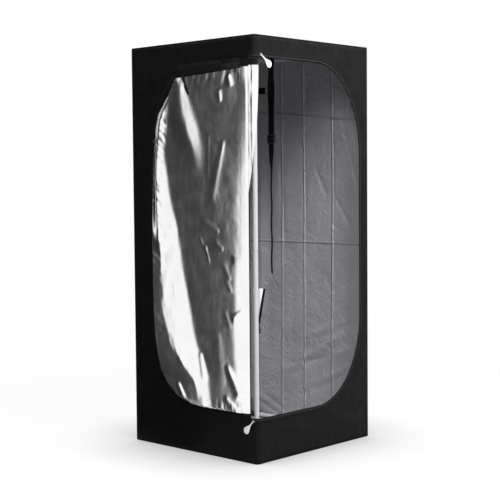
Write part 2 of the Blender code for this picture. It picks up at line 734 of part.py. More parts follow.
def stay(parent):
    """A webbing stay from its snap on the wall down over the door's top corner, clear of the folds below it."""
    centre = []
    for k in range(STAY_STEPS + 1):
        share = k / STAY_STEPS
        z = STAY_TOP - STAY_LENGTH * share
        s = STAY_PLACE - STAY_SLANT * share
        near = []
        for up in (-1, 0, 1):
            for side in (-1, 0, 1):
                height = min(max(z + up * STAY_WIDTH, PANEL_LOW), PANEL_HIGH)
                near.append(panel_proud(s + side * STAY_WIDTH, height, PANEL_REACH))
        centre.append((s, z, max(near) + CLOTH / 2 + STAY_CLEAR + STAY_T / 2))
    rows = [[door_point(s + side * STAY_WIDTH / 2, z, proud) for side in (-1, 1)] for s, z, proud in centre]
    thicken(place("door_stay", skin("door_stay", rows), "webbing", parent=parent), STAY_T)
    seat = Vector((-HALF_X - SEAT, FOLD_Y + STAY_PLACE, STAY_TOP + SNAP_R + STAY_T))
    profile = [(0, SNAP_T), (SNAP_R / 2, SNAP_T), (SNAP_R, SNAP_T / 2), (SNAP_R, 0), (0, 0)]
    place("stay_snap", turned("stay_snap", profile, closed=False), "plastic", along(seat, Vector((-1, 0, 0))))


def ring(parent):
    """The tie ring, lying on the slope of the panel's free edge."""
    z, reach = panel_far((RING_Z - PANEL_LOW) / (PANEL_HIGH - PANEL_LOW))
    near, far = (door_point(s, z, panel_proud(s, z, reach)) for s in panel_stops(reach)[-2:])
    inward = (near - far).normalized()
    out = inward.cross(UP)
    lift = CLOTH / 2 + RING_CLEAR + RING_WIRE_R
    wire = arc((RING_R - RING_WIRE_R, 0), RING_WIRE_R, 0, -2 * math.pi, 8)[:-1]
    middle = far + inward * RING_R + out * lift
    place("door_tie_ring", turned("door_tie_ring", wire), "plastic", along(middle, out), parent)


def tuck():
    """Door cloth still zipped round the front corner above the open door, wrapped on the wall's own line."""
    high = DOOR_HIGH - TUCK_TOP_CLEAR
    steps = [math.pi + math.pi / 2 * k / CORNER_STEPS for k in range(CORNER_STEPS + 1)]
    reach = INSET - CLOTH / 2
    line = [Vector((-POLE_X - reach, SEAM_Y - SEAT, 0))]
    for k, turn in enumerate(steps):
        r = reach - TUCK_DRAWN_IN * k / CORNER_STEPS
        line.append(Vector((-POLE_X + r * math.cos(turn), -POLE_Y + r * math.sin(turn), 0)))
    line.append(Vector((-HALF_X + TUCK_FRONT, line[-1].y, 0)))
    lengths = [0.0]
    for a, b in zip(line, line[1:]):
        lengths.append(lengths[-1] + (b - a).length)
    low = [high - (high - TUCK_LOW) * (1 - run / lengths[-1]) ** 0.8 - CLOTH for run in lengths]
    rows = [[p + UP * z for p, z in zip(line, low)], [p + UP * high for p in line]]
    thicken(place("door_corner_tuck", skin("door_corner_tuck", rows), "silver"), CLOTH)


def slider(name, frame, parent=None):
    """A zip slider on its tape: a shield-shaped plate and the stud that its pull turns on. X is its travel."""
    long, half = SLIDER_LENGTH / 2, SLIDER_WIDTH / 2
    nose = SLIDER_NOSE / 2
    outline = [(-long, -half), (0, -half), (long, -nose), (long, nose), (0, half), (-long, half)]
    plate = place(name, prism(name, outline, Matrix(), SLIDER_FACE, SLIDER_FACE + SLIDER_PLATE), "metal", frame, parent)
    top = PULL_FACE + PULL_T + SEAT + STUD_CAP
    shoulder = top - STUD_CAP
    foot = SLIDER_FACE + SLIDER_PLATE / 2
    profile = [(0, top), (STUD_CAP_R, top), (STUD_CAP_R, shoulder), (STUD_R, shoulder), (STUD_R, foot), (0, foot)]
    stud = guide(f"{name}_stud", turned(f"{name}_stud", profile, 12, closed=False), frame)
    return combine(plate, stud, "UNION")


def pull(name, frame, lean, parent):
    """A teardrop pull with its eye round the slider's stud, hanging along -Y of the slider at no lean."""
    eye = arc((0, 0), PULL_EYE_R, math.radians(-50), math.radians(230), 10)
    half_neck = PULL_NECK_WIDTH / 2
    drop_r = PULL_WIDTH / 2
    centre = -PULL_LENGTH + drop_r
    left = [(-half_neck, -PULL_EYE_R), (-half_neck, -PULL_NECK)]
    bulb = arc((0, centre), drop_r, math.radians(160), math.radians(380), 16)
    right = [(half_neck, -PULL_NECK), (half_neck, -PULL_EYE_R)]
    outline = eye + left + bulb + right
    turned_frame = frame @ Matrix.Rotation(lean, 4, "Z")
    body = place(name, prism(name, outline, Matrix(), PULL_FACE, PULL_FACE + PULL_T), "pull", turned_frame, parent)
    hole_r = STUD_R + SEAT
    low, high = PULL_FACE - CUT_OVERRUN, PULL_FACE + CUT_OVERRUN
    hole = turned(f"{name}_eye", [(0, high), (hole_r, high), (hole_r, low), (0, low)], 12, closed=False)
    combine(body, guide(f"{name}_eye", hole, turned_frame), "DIFFERENCE")
    return body


def zips():
    """The upper slider on the front face and the lower one at the corner, each with its pull."""
    front = Matrix(((1, 0, 0, TOP_SLIDER_X), (0, 0, -1, -HALF_Y), (0, 1, 0, DOOR_HIGH + SLIDER_OFFSET), (0, 0, 0, 1)))
    top = slider("zip_slider_top", front)
    pull("zip_pull_top", front, TOP_PULL_LEAN, top)
    side = Matrix(((0, 0, -1, -HALF_X), (-1, 0, 0, -POLE_Y), (0, 1, 0, DOOR_LOW - SLIDER_OFFSET), (0, 0, 0, 1)))
    low = slider("zip_slider_low", side)
    pull("zip_pull_low", side, -LOW_PULL_LEAN, low)


def tie():
    """A cloth gusset round the inside of the front pole, its bound edge and the buckle at its foot."""
    columns, strap_columns, rows_count = 8, 4, 4
    centre = Vector((-POLE_X, -POLE_Y, 0))

    def on_gusset(angle, share, grow=0.0):
        radius = TIE_LOW_R + (TIE_TOP_R - TIE_LOW_R) * share + grow
        z = TIE_LOW + (TIE_TOP - TIE_LOW) * share
        return centre + Vector((radius * math.cos(angle), radius * math.sin(angle), z))

    def front_angle(share):
        return -math.asin(TIE_FRONT / (TIE_LOW_R + (TIE_TOP_R - TIE_LOW_R) * share))

    rows = []
    for j in range(rows_count + 1):
        end = front_angle(j / rows_count)
        angles = [TIE_START + (end - TIE_START) * k / columns for k in range(columns + 1)]
        rows.append([on_gusset(angle, j / rows_count) for angle in angles])
    thicken(place("tie_gusset", skin("tie_gusset", rows), "silver"), TIE_CLOTH)

    off = TIE_CLOTH / 2 + TIE_CLEAR + TIE_STRAP_T / 2
    strap_rows = []
    for j in range(rows_count + 1):
        share = j / rows_count
        radius = TIE_LOW_R + (TIE_TOP_R - TIE_LOW_R) * share + off
        turn = TIE_STRAP_WIDTH / radius / strap_columns
        start = front_angle(share)
        strap_rows.append([on_gusset(start + turn * k, share, off) for k in range(strap_columns + 1)])
    thicken(place("tie_strap", skin("tie_strap", strap_rows), "webbing"), TIE_STRAP_T)

    angle = front_angle(0) + TIE_STRAP_WIDTH / 2 / (TIE_LOW_R + off)
    out = Vector((math.cos(angle), math.sin(angle), 0))
    across = Vector((-out.y, out.x, 0))
    middle = centre + out * (TIE_LOW_R + off) + UP * (TIE_LOW - SEAT - TIE_BUCKLE_HEIGHT / 2)
    frame = Matrix((across, UP, out)).transposed().to_4x4()
    frame.translation = middle
    half_t = TIE_BUCKLE_T / 2
    outline = rectangle(TIE_BUCKLE_WIDTH, TIE_BUCKLE_HEIGHT, 0, 0)
    buckle = place("tie_buckle", prism("tie_buckle", outline, Matrix(), -half_t, half_t), "plastic", frame)
    slot_height = (TIE_BUCKLE_HEIGHT - 3 * TIE_BUCKLE_BAR) / 2
    for side in (-1, 1):
        place_b = side * (slot_height + TIE_BUCKLE_BAR) / 2
        slot = rectangle(TIE_BUCKLE_WIDTH - 2 * TIE_BUCKLE_BAR, slot_height, 0, place_b)
        mesh = prism("tie_slot", slot, Matrix(), -half_t - CUT_OVERRUN, half_t + CUT_OVERRUN)
        combine(buckle, guide(f"tie_slot_{side}", mesh, frame), "DIFFERENCE")


def hanging_bar():
    """A bar across the roof with a clip on each side bar, free to slide front to back."""
    carrier = pivot("bar_carrier", (0, 0, BAR_Z))
    bar_start = -POLE_X + POLE_R + SEAT + CLIP_R - POLE_R
    tube("hanging_bar", Vector((bar_start + SEAT, 0, BAR_Z)), Vector((1, 0, 0)), -2 * (bar_start + SEAT), parent=carrier)
    for name, side in (("left", -1), ("right", 1)):
        inner_r = POLE_R + SEAT
        half_mouth = CLIP_MOUTH / 2
        start, end = -math.pi / 2 + half_mouth, 3 * math.pi / 2 - half_mouth
        outline = arc((0, 0), CLIP_R, start, end, ROUND_STEPS) + arc((0, 0), inner_r, end, start, ROUND_STEPS)
        frame = Matrix(((1, 0, 0, side * POLE_X), (0, 0, -1, 0), (0, 1, 0, BAR_Z), (0, 0, 0, 1)))
        mesh = prism(f"bar_clip_{name}", outline, Matrix(), -CLIP_WIDTH / 2, CLIP_WIDTH / 2)
        clip = place(f"bar_clip_{name}", mesh, "plastic", frame, carrier)
        root = CLIP_R - (CLIP_R - inner_r) / 2
        tip = root + BAR_SOCKET
        arm = turned("clip_arm", [(0, tip), (LIP_R - SEAT, tip), (LIP_R - SEAT, root), (0, root)], closed=False)
        way = along(Vector((side * POLE_X, 0, BAR_Z)), Vector((-side, 0, 0)))
        combine(clip, guide(f"clip_arm_{name}", arm, way), "UNION")
        floor = CLIP_R + SEAT / 2
        bore_r = POLE_R + SEAT
        bore = turned("clip_bore", [(0, tip + CUT_OVERRUN), (bore_r, tip + CUT_OVERRUN), (bore_r, floor), (0, floor)], closed=False)
        combine(clip, guide(f"clip_bore_{name}", bore, way), "DIFFERENCE")
    strap(carrier)


def strap_turn(z):
    """The webbing's turn about its own line at a height: once above the buckle and again below it."""
    upper = smooth((STRAP_TWIST_TOP - z) / (STRAP_TWIST_TOP - STRAP_TWIST_LOW))
    buckle_foot = BUCKLE_Z - BUCKLE_HEIGHT
    lower = smooth((buckle_foot - z) / TAIL_TWIST_LENGTH)
    return STRAP_TURN * upper + TAIL_TURN * lower


def strap(parent):
    """Webbing over the bar: both plies run down to the ladder buckle, and one goes on as the tail."""
    swing = pivot("strap_swing", (STRAP_X, 0, BAR_Z))
    swing.parent = parent
    swing.matrix_parent_inverse = parent.matrix_world.inverted()
    loop_r = POLE_R + SEAT + STRAP_T / 2
    ply = (STRAP_PLY_GAP + STRAP_T) / 2
    meet = BAR_Z - STRAP_MEET
    sewn_end = BUCKLE_Z - BUCKLE_HEIGHT / 2 + BUCKLE_BAR
    count = TWIST_STEPS
    down = [meet - (meet - sewn_end) * k / count for k in range(count + 1)]
    path = [(ply, z) for z in reversed(down)]
    path += [(y, BAR_Z + z) for y, z in arc((0, 0), loop_r, 0, math.pi, 8)]
    path += [(-ply, z) for z in down]
    tail_steps = 9
    last = down[-1]
    path += [(-ply, last - (last - TAIL_END) * k / tail_steps) for k in range(1, tail_steps + 1)]
    path += [(-ply + STRAP_T, TAIL_END - TAB_LENGTH / 8), (-ply + STRAP_T + SEAT, TAIL_END + TAB_LENGTH)]
    rows = []
    for y, z in path:
        turn = Matrix.Rotation(strap_turn(z), 3, "Z")
        rows.append([Vector((STRAP_X, 0, z)) + turn @ Vector((side * STRAP_WIDTH / 2, y, 0)) for side in (-1, 1)])
    thicken(place("hanging_strap", skin("hanging_strap", rows), "webbing", parent=swing), STRAP_T)

    turn = Matrix.Rotation(strap_turn(BUCKLE_Z), 4, "Z")
    frame = Matrix.Translation((STRAP_X, 0, BUCKLE_Z)) @ turn @ Matrix.Rotation(math.pi / 2, 4, "X")
    passage = STRAP_T + ply + SEAT
    deep = passage + BUCKLE_PLATE
    rail_x = STRAP_WIDTH / 2 + SEAT + BUCKLE_RAIL / 2
    width = 2 * rail_x + BUCKLE_RAIL
    outline = rectangle(width, BUCKLE_HEIGHT, 0, 0)
    buckle = place("strap_buckle", prism("strap_buckle", outline, Matrix(), -deep, deep), "plastic", frame, swing)
    inner_width = STRAP_WIDTH + 2 * SEAT
    tall = BUCKLE_HEIGHT / 2 + CUT_OVERRUN
    way = prism("buckle_way", rectangle(inner_width, 2 * tall, 0, 0), Matrix(), -passage, passage)
    combine(buckle, guide("buckle_way", way, frame), "DIFFERENCE")
    gap = (BUCKLE_HEIGHT - 3 * BUCKLE_BAR) / 2
    for side in (-1, 1):
        window = rectangle(inner_width, gap, 0, side * (gap + BUCKLE_BAR) / 2)
        mesh = prism("buckle_window", window, Matrix(), -deep - CUT_OVERRUN, deep + CUT_OVERRUN)
        combine(buckle, guide(f"buckle_window_{side}", mesh, frame), "DIFFERENCE")


def duct_sleeve():
    """A sewn flange and a short cloth sleeve, drawn in a little at its mouth, on the back wall."""
    root_r = DUCT_R - SEAT
    mouth = root_r - DUCT_DRAW_IN
    inner = -CANVAS - SEAT
    profile = [
        (mouth + CLOTH, DUCT_LENGTH),
        (mouth + CLOTH, DUCT_LENGTH - DUCT_HEM),
        (root_r, DUCT_HEM),
        (root_r, SEAT + CLOTH),
        (root_r + DUCT_FLANGE, SEAT + CLOTH),
        (root_r + DUCT_FLANGE, SEAT),
        (root_r, SEAT),
        (root_r, inner),
        (root_r - CLOTH, inner),
        (root_r - CLOTH, DUCT_HEM),
        (mouth, DUCT_LENGTH - DUCT_HEM),
        (mouth, DUCT_LENGTH),
    ]
    mesh = turned("duct_sleeve", profile, DUCT_STEPS)
    place("duct_sleeve", mesh, "canvas", along(Vector((0, HALF_Y, DUCT_Z)), Vector((0, 1, 0))))


def vent():
    """A net in the back wall's low opening and the flap that covers it from outside."""
    columns, lines = 2 * VENT_COLUMNS + 1, 2 * VENT_ROWS + 1
    width, height = VENT_WIDTH - 2 * SEAT, VENT_HEIGHT - 2 * SEAT

    def stops(total, count):
        mesh_gap = (total - 2 * NET_BORDER - (count - 1) * NET_BAR) / count
        at = [-total / 2, -total / 2 + NET_BORDER]
        for k in range(count):
            at.append(at[-1] + mesh_gap)
            at.append(at[-1] + (NET_BAR if k < count - 1 else NET_BORDER))
        return at

    across, up = stops(width, VENT_COLUMNS), stops(height, VENT_ROWS)
    bm = bmesh.new()
    net_y = HALF_Y - CANVAS / 2
    grid = [[bm.verts.new((a, net_y, VENT_Z + b)) for a in across] for b in up]
    for j in range(lines):
        for k in range(columns):
            if not (j % 2 and k % 2):
                bm.faces.new((grid[j][k], grid[j][k + 1], grid[j + 1][k + 1], grid[j + 1][k]))
    thicken(place("vent_net", mesh_of("vent_net", bm, smooth=False), "net"), NET_T)

    hinge = pivot("vent_hinge", (0, HALF_Y + SEAT + VENT_FLAP_T, VENT_Z + VENT_HEIGHT / 2 + FLAP_LAP))
    facing = Matrix.Rotation(math.pi / 2, 4, "X")
    outline = rectangle(VENT_WIDTH + 2 * FLAP_LAP, VENT_HEIGHT + 2 * FLAP_LAP, 0, VENT_Z)
    mesh = prism("vent_flap", outline, facing, -HALF_Y - SEAT - VENT_FLAP_T, -HALF_Y - SEAT)
    place("vent_flap", mesh, "canvas", parent=hinge)


def pole_tab():
    """A webbing tab from the right wall round the inside of the back pole."""
    reach = POLE_R + SEAT + POLE_TAB_T / 2
    line = arc((POLE_X, POLE_Y), reach, math.radians(150), math.radians(270), 6)
    line.append((POLE_X + reach, POLE_Y - reach - POLE_R))
    wall_x = HALF_X - CANVAS - SEAT - POLE_TAB_T / 2
    line[-1] = (wall_x, POLE_Y - reach - POLE_R)
    line.append((wall_x, POLE_Y - reach - POLE_R - POLE_TAB_LENGTH))
    low, high = POLE_TAB_Z - POLE_TAB_HEIGHT / 2, POLE_TAB_Z + POLE_TAB_HEIGHT / 2
    rows = [[Vector((x, y, z)) for x, y in line] for z in (low, high)]
    thicken(place("pole_tab", skin("pole_tab", rows), "webbing"), POLE_TAB_T)


def hide_guides():
    for item in GUIDES.objects:
        item.hide_set(True)


fresh_scene()
PARTS = collection("grow_tent")
GUIDES = collection("cutters")
LOOKS = {
    "canvas": finish("black_canvas", (0.012, 0.012, 0.014), 0.75),
    "silver": finish("silver_lining", (0.60, 0.60, 0.61), 0.28, 0.9),
    "pole": finish("white_enamel", (0.85, 0.85, 0.84), 0.30),
    "plastic": finish("black_plastic", (0.015, 0.016, 0.018), 0.45),
    "webbing": finish("black_webbing", (0.010, 0.010, 0.011), 0.80),
    "net": finish("black_net", (0.014, 0.014, 0.015), 0.70),
    "metal": finish("dark_zip_metal", (0.05, 0.05, 0.055), 0.40, 0.8),
    "pull": finish("white_pull", (0.88, 0.88, 0.88), 0.35),
}
frame_of_poles()
canvas_box()
zip_tape()
door()
zips()
tie()
hanging_bar()
duct_sleeve()
vent()
pole_tab()
hide_guides()
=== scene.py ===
import math
from functools import lru_cache
from itertools import accumulate

import bmesh
import bpy
from mathutils import Matrix, Vector, noise


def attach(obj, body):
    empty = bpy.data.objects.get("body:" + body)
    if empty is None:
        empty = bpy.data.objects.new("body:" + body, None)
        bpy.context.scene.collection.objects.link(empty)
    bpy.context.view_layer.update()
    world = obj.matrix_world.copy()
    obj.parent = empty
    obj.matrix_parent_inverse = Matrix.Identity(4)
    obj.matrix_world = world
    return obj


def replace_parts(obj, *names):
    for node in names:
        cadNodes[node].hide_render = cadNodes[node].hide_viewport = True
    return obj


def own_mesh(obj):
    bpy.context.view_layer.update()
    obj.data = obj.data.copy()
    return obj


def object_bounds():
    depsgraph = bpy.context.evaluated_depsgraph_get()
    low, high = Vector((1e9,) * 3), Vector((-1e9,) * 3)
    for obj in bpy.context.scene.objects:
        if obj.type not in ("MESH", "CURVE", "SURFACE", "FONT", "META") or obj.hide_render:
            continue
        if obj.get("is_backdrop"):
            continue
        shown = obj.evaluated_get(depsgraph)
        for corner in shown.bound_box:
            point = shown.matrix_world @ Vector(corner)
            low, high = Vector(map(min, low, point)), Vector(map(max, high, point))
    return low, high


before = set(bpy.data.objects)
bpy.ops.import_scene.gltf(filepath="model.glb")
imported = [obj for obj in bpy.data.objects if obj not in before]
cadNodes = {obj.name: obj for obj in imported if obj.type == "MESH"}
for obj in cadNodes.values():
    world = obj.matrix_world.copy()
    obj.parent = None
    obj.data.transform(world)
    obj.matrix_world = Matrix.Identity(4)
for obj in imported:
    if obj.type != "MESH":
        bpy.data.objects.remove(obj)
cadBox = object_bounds()
scene = bpy.context.scene

tent = {"half": 0.300, "height": 1.400, "canvas": 0.0015, "poleAxis": 0.2874, "cornerRadius": 0.0126, "edge": 0.0047}
doorway = {"low": 0.152, "high": 1.326, "farX": 0.242, "cornerWide": 0.235, "cornerHigh": 0.300}
seam = {"y": -0.272, "foldY": -0.2413, "standoff": 0.0027, "strip": 0.0307, "draw": 0.105}
doorPlane = -tent["half"] - seam["standoff"]


class Wire:
    def __init__(self, paint, socket):
        self.paint = paint
        self.socket = socket

    def sum(self, kind, *others):
        return self.paint.wire("ShaderNodeMath", [self, *others], operation=kind)

    def __add__(self, other):
        return self.sum("ADD", other)

    def __sub__(self, other):
        return self.sum("SUBTRACT", other)

    def __mul__(self, other):
        return self.sum("MULTIPLY", other)

    def __pow__(self, other):
        return self.sum("POWER", other)

    def spread(self, lowIn, highIn, lowOut, highOut):
        inputs = {"Value": self, "From Min": lowIn, "From Max": highIn, "To Min": lowOut, "To Max": highOut}
        return self.paint.wire("ShaderNodeMapRange", inputs, "Result")


class Nodes:
    def __init__(self, tree):
        self.tree = tree

    def node(self, kind, inputs=(), **settings):
        made = self.tree.nodes.new(kind)
        for key, value in settings.items():
            setattr(made, key, value)
        pairs = inputs.items() if isinstance(inputs, dict) else enumerate(inputs)
        for key, value in pairs:
            if isinstance(value, Wire):
                self.tree.links.new(value.socket, made.inputs[key])
            else:
                made.inputs[key].default_value = value
        return made

    def wire(self, kind, inputs=(), output=0, **settings):
        return Wire(self, self.node(kind, inputs, **settings).outputs[output])

    def rays(self, *kinds):
        # 1 for a ray of any of these kinds
        seen, *others = (self.wire("ShaderNodeLightPath", (), f"Is {kind} Ray") for kind in kinds)
        for other in others:
            seen = seen.sum("MAXIMUM", other)
        return seen


class Paint(Nodes):
    def __init__(self, name, colour, roughness=0.5, metallic=0.0, specular=0.5, coat=0.0):
        self.material = bpy.data.materials.new(name)
        self.material.use_nodes = True
        super().__init__(self.material.node_tree)
        self.shader = self.tree.nodes["Principled BSDF"]
        self.colour = colour
        self.heights = []
        self.set("Base Color", (*colour, 1))
        self.set("Roughness", roughness)
        self.set("Metallic", metallic)
        self.set("Specular IOR Level", specular)
        self.set("Coat Weight", coat)

    def set(self, socket, value):
        if isinstance(value, Wire):
            self.tree.links.new(value.socket, self.shader.inputs[socket])
        else:
            self.shader.inputs[socket].default_value = value

    def place(self, flat=False):
        return self.wire("ShaderNodeTexCoord", (), "UV" if flat else "Object")

    def cloud(self, scale, detail=3, roughness=0.5, flat=False, distortion=0.0):
        inputs = {"Vector": self.place(flat), "Scale": scale, "Detail": detail, "Roughness": roughness}
        return self.wire("ShaderNodeTexNoise", {**inputs, "Distortion": distortion}, "Fac")

    def ripple(self, scale, direction):
        inputs = {"Vector": self.place(flat=True), "Scale": scale}
        return self.wire("ShaderNodeTexWave", inputs, "Fac", bands_direction=direction)

    def shade(self, mask, other):
        # a second colour where the mask is high
        inputs = {0: mask, 6: (*self.colour, 1), 7: (*other, 1)}
        self.set("Base Color", self.wire("ShaderNodeMix", inputs, 2, data_type="RGBA"))

    def surface(self, patches, other, wear, bumps):
        # patches of a second colour, roughness that wanders between two values, and fine relief
        scale, detail, low, high = patches
        self.shade(self.cloud(scale, detail).spread(low, high, 0, 1), other)
        scale, detail, low, high = wear
        self.set("Roughness", self.cloud(scale, detail).spread(0.3, 0.7, low, high))
        for scale, detail, depth, strength in bumps:
            self.bump(self.cloud(scale, detail), depth, strength)
        return self

    def lineFold(self, slant, level, width):
        # a ridge along slant . place = level, in metres of the sheet
        inputs = {0: self.place(flat=True), 1: (*slant, 0)}
        reach = self.wire("ShaderNodeVectorMath", inputs, "Value", operation="DOT_PRODUCT")
        return (reach - level).sum("ABSOLUTE").spread(0, width, 1, 0)

    def bump(self, height, distance, strength=1.0):
        self.heights.append((height, distance, strength))

    def done(self):
        normal = None
        for height, distance, strength in self.heights:
            inputs = {"Height": height, "Distance": distance, "Strength": strength}
            if normal is not None:
                inputs["Normal"] = normal
            normal = self.wire("ShaderNodeBump", inputs)
        if normal is not None:
            self.set("Normal", normal)
        return self.material


def blackCanvas():
    paint = Paint("blackCanvas", (0.0032, 0.0032, 0.0036), specular=0.09)
    paint.surface((14, 4, 0.35, 0.7), (0.0048, 0.0048, 0.0053), (30, 3, 0.5, 0.66), ())
    paint.bump(paint.cloud(7, 3, 0.55, distortion=0.6), 0.016, 0.5)
    paint.bump(paint.cloud(38, 3, 0.6), 0.0030, 0.6)
    paint.bump(paint.ripple(260, "X") + paint.ripple(260, "Y"), 0.00012, 0.5)
    return paint.done()


def silverFilm(name="silverFilm", colour=(0.96, 0.96, 0.965), roughness=(0.15, 0.23), crumple=1.0, metallic=1.0):
    paint = Paint(name, colour, metallic=metallic)
    paint.surface((9, 3, 0.4, 0.75), [c * 0.95 for c in colour], (22, 4, *roughness), ((16, 3, 0.0010 * crumple, 0.4),))
    paint.bump(paint.cloud(90, 4, 0.7), 0.00060 * crumple, 0.5)
    return paint.done()


def foldedLining():
    # the lining keeps the straight creases that it was packed with
    # its gray, far darker than the door's film, is painted shade for the dim inside of the tent
    paint = Paint("foldedLining", (0.43, 0.43, 0.45), metallic=0.30)
    paint.surface((7, 3, 0.35, 0.75), (0.37, 0.37, 0.39), (22, 4, 0.42, 0.56), ())
    for slant, level, width, depth in packedCreases:
        paint.bump(paint.lineFold(slant, level, width), depth, 0.9)
    for scale, detail, roughness, distortion, depth, strength in liningCrumple:
        paint.bump(paint.cloud(scale, detail, roughness, True, distortion), depth, strength)
    return paint.done()


def webbing(name="blackWebbing", colour=(0.0055, 0.0055, 0.0060), pitch=520):
    paint = Paint(name, colour, 0.68, specular=0.08)
    paint.shade(paint.cloud(60, 3), [c * 1.5 for c in colour])
    paint.bump(paint.ripple(pitch, "Y") + paint.ripple(pitch * 0.5, "X"), 0.00025, 0.7)
    return paint.done()


def whiteEnamel():
    paint = Paint("whiteEnamel", (0.60, 0.60, 0.63), coat=0.25)
    bumps = ((420, 2, 0.00006, 0.4),)
    return paint.surface((11, 3, 0.45, 0.8), (0.55, 0.55, 0.58), (40, 3, 0.24, 0.38), bumps).done()


def mouldedPlastic():
    paint = Paint("mouldedPlastic", (0.013, 0.013, 0.015), specular=0.4)
    bumps = ((900, 2, 0.00005, 0.5),)
    return paint.surface((25, 3, 0, 1), (0.0182, 0.0182, 0.021), (60, 3, 0.38, 0.5), bumps).done()


def zipMetal():
    paint = Paint("blackZinc", (0.05, 0.05, 0.055), metallic=0.85)
    bumps = ((500, 2, 0.00004, 0.4),)
    return paint.surface((140, 3, 0.5, 0.8), (0.16, 0.16, 0.17), (160, 3, 0.28, 0.48), bumps).done()


def pullEnamel():
    # a faint glow keeps the pulls white in the shade under the door
    paint = Paint("pullEnamel", (0.90, 0.90, 0.90), coat=0.4)
    paint.set("Emission Color", (1, 1, 1, 1))
    paint.set("Emission Strength", 0.25)
    bumps = ((300, 2, 0.00005, 0.4),)
    return paint.surface((90, 3, 0.5, 0.8), (0.78, 0.78, 0.78), (150, 2, 0.22, 0.36), bumps).done()


# each as (slant, level, width, depth), on the right wall's lining
packedCreases = (
    ((0, 1), 0.692, 0.006, 0.0050),
    ((-0.10, 1), 1.166 - 0.0287, 0.006, 0.0060),
    ((1, 0), tent["poleAxis"] + 0.004, 0.005, 0.0050),
    ((1, 0.004), tent["poleAxis"] - 0.128, 0.006, 0.0050),
    ((1, 0.004), tent["poleAxis"] + 0.116, 0.006, 0.0040),
)
# each as (scale, detail, roughness, distortion, depth, strength)
liningCrumple = ((18, 4, 0.6, 1.2, 0.010, 0.7), (60, 4, 0.65, 0.0, 0.004, 0.7), (420, 2, 0.5, 0.0, 0.00005, 0.5))
canvasMat = blackCanvas()
silverMat = silverFilm()
# the tent's inner film is the door's film in a darker gray: partly a duller, more crumpled film, partly painted shade
# for the dim inside of the tent
liningMat = silverFilm("silverLining", (0.50, 0.50, 0.52), (0.40, 0.52), 1.6, metallic=0.4)
gussetMat = silverFilm("gussetLining", (0.85, 0.85, 0.87), (0.40, 0.52), 1.6, metallic=0.2)
rightLiningMat = foldedLining()
webMat = webbing()
enamelMat = whiteEnamel()
plasticMat = mouldedPlastic()
zincMat = zipMetal()
pullMat = pullEnamel()
netMat = webbing("blackNet", (0.012, 0.012, 0.013), 900)
print("materials ready")


def linked(name, data, *materials):
    item = bpy.data.objects.new(name, data)
    scene.collection.objects.link(item)
    for material in materials:
        data.materials.append(material)
    return item


def meshFrom(name, bm):
    mesh = bpy.data.meshes.new(name)
    bm.to_mesh(mesh)
    bm.free()
    mesh.shade_smooth()
    return mesh


def shaped(name, bm, *materials):
    return linked(name, meshFrom(name, bm), *materials)


def facing(*way):
    # the outward sense of a piece that lies flat
    return lambda point: Vector(way)


leftward = facing(-1, 0, 0)


def faceOut(bm, outward):
    bm.normal_update()
    if sum(face.normal.dot(outward(face.calc_center_median())) for face in bm.faces) < 0:
        bmesh.ops.reverse_faces(bm, faces=bm.faces)


def sheetMesh(name, columns, rows, shape, outward, size):
    # a grid whose points are carried by shape(a, b), with a and b from 0 to 1
    bm = bmesh.new()
    bmesh.ops.create_grid(bm, x_segments=columns, y_segments=rows, size=0.5)
    spots = {vert: (vert.co.x + 0.5, vert.co.y + 0.5) for vert in bm.verts}
    layer = bm.loops.layers.uv.new("flat")
    for face in bm.faces:
        for loop in face.loops:
            a, b = spots[loop.vert]
            loop[layer].uv = (a * size[0], b * size[1])
    for vert, (a, b) in spots.items():
        vert.co = shape(a, b)
    faceOut(bm, outward)
    area = sum(face.calc_area() for face in bm.faces)
    return meshFrom(name, bm), area


def sheetPiece(name, columns, rows, shape, outward, size, thick, materials, body, held="stretched", stands=()):
    mesh, area = sheetMesh(name, columns, rows, shape, outward, size)
    item = linked(name, mesh, *materials)
    wall = item.modifiers.new("cloth", "SOLIDIFY")
    wall.thickness = thick
    wall.offset = -1
    wall.use_even_offset = False
    if len(materials) > 1:
        wall.material_offset = 1
    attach(item, body)
    if held:
        declare(item, size, area)
    if stands:
        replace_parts(item, *stands)
    return item


def declare(item, size, area, allowance=0.0):
    # states the flat cut: the sewing allowance is turned in at the seams
    flat = (size[0] + allowance, size[1] + allowance)
    whole = flat[0] * flat[1]
    cutArea = min(max(area + allowance * (flat[0] + flat[1]), 0.3 * whole), whole)
    print(f"{item.name}: cut {flat[0]:.3f} x {flat[1]:.3f} m, {cutArea:.4f} m2, covers {area:.4f} m2")


def bake(item):
    # works the modifiers into the mesh
    bpy.context.view_layer.update()
    shown = item.evaluated_get(bpy.context.evaluated_depsgraph_get())
    mesh = bpy.data.meshes.new_from_object(shown)
    old = item.data
    item.modifiers.clear()
    item.data = mesh
    bpy.data.meshes.remove(old)
    return item


def crisp(item):
    # a sheet's cut edges stay out of its face's shading
    bake(item).data.set_sharp_from_angle(angle=math.radians(45))
    return item


def cutWith(item, tool):
    step = item.modifiers.new("cut", "BOOLEAN")
    step.operation = "DIFFERENCE"
    step.solver = "EXACT"
    step.object = tool
    bake(item)
    bpy.data.objects.remove(tool)
    return item


def blockFrom(outline, frameMatrix, low, high):
    # a flat outline extruded between two depths
    bm = bmesh.new()
    corners = [bm.verts.new(frameMatrix @ Vector((a, b, low))) for a, b in outline]
    face = bm.faces.new(corners)
    grown = bmesh.ops.extrude_face_region(bm, geom=[face])
    lift = frameMatrix.to_3x3() @ Vector((0, 0, high - low))
    bmesh.ops.translate(bm, vec=lift, verts=[v for v in grown["geom"] if isinstance(v, bmesh.types.BMVert)])
    bmesh.ops.recalc_face_normals(bm, faces=bm.faces)
    return bm


def pressShut(item):
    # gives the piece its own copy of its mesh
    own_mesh(item)


def runsOf(lengths):
    # the distance along a line to each of its points, from the lengths between them
    return list(accumulate(lengths, initial=0.0))


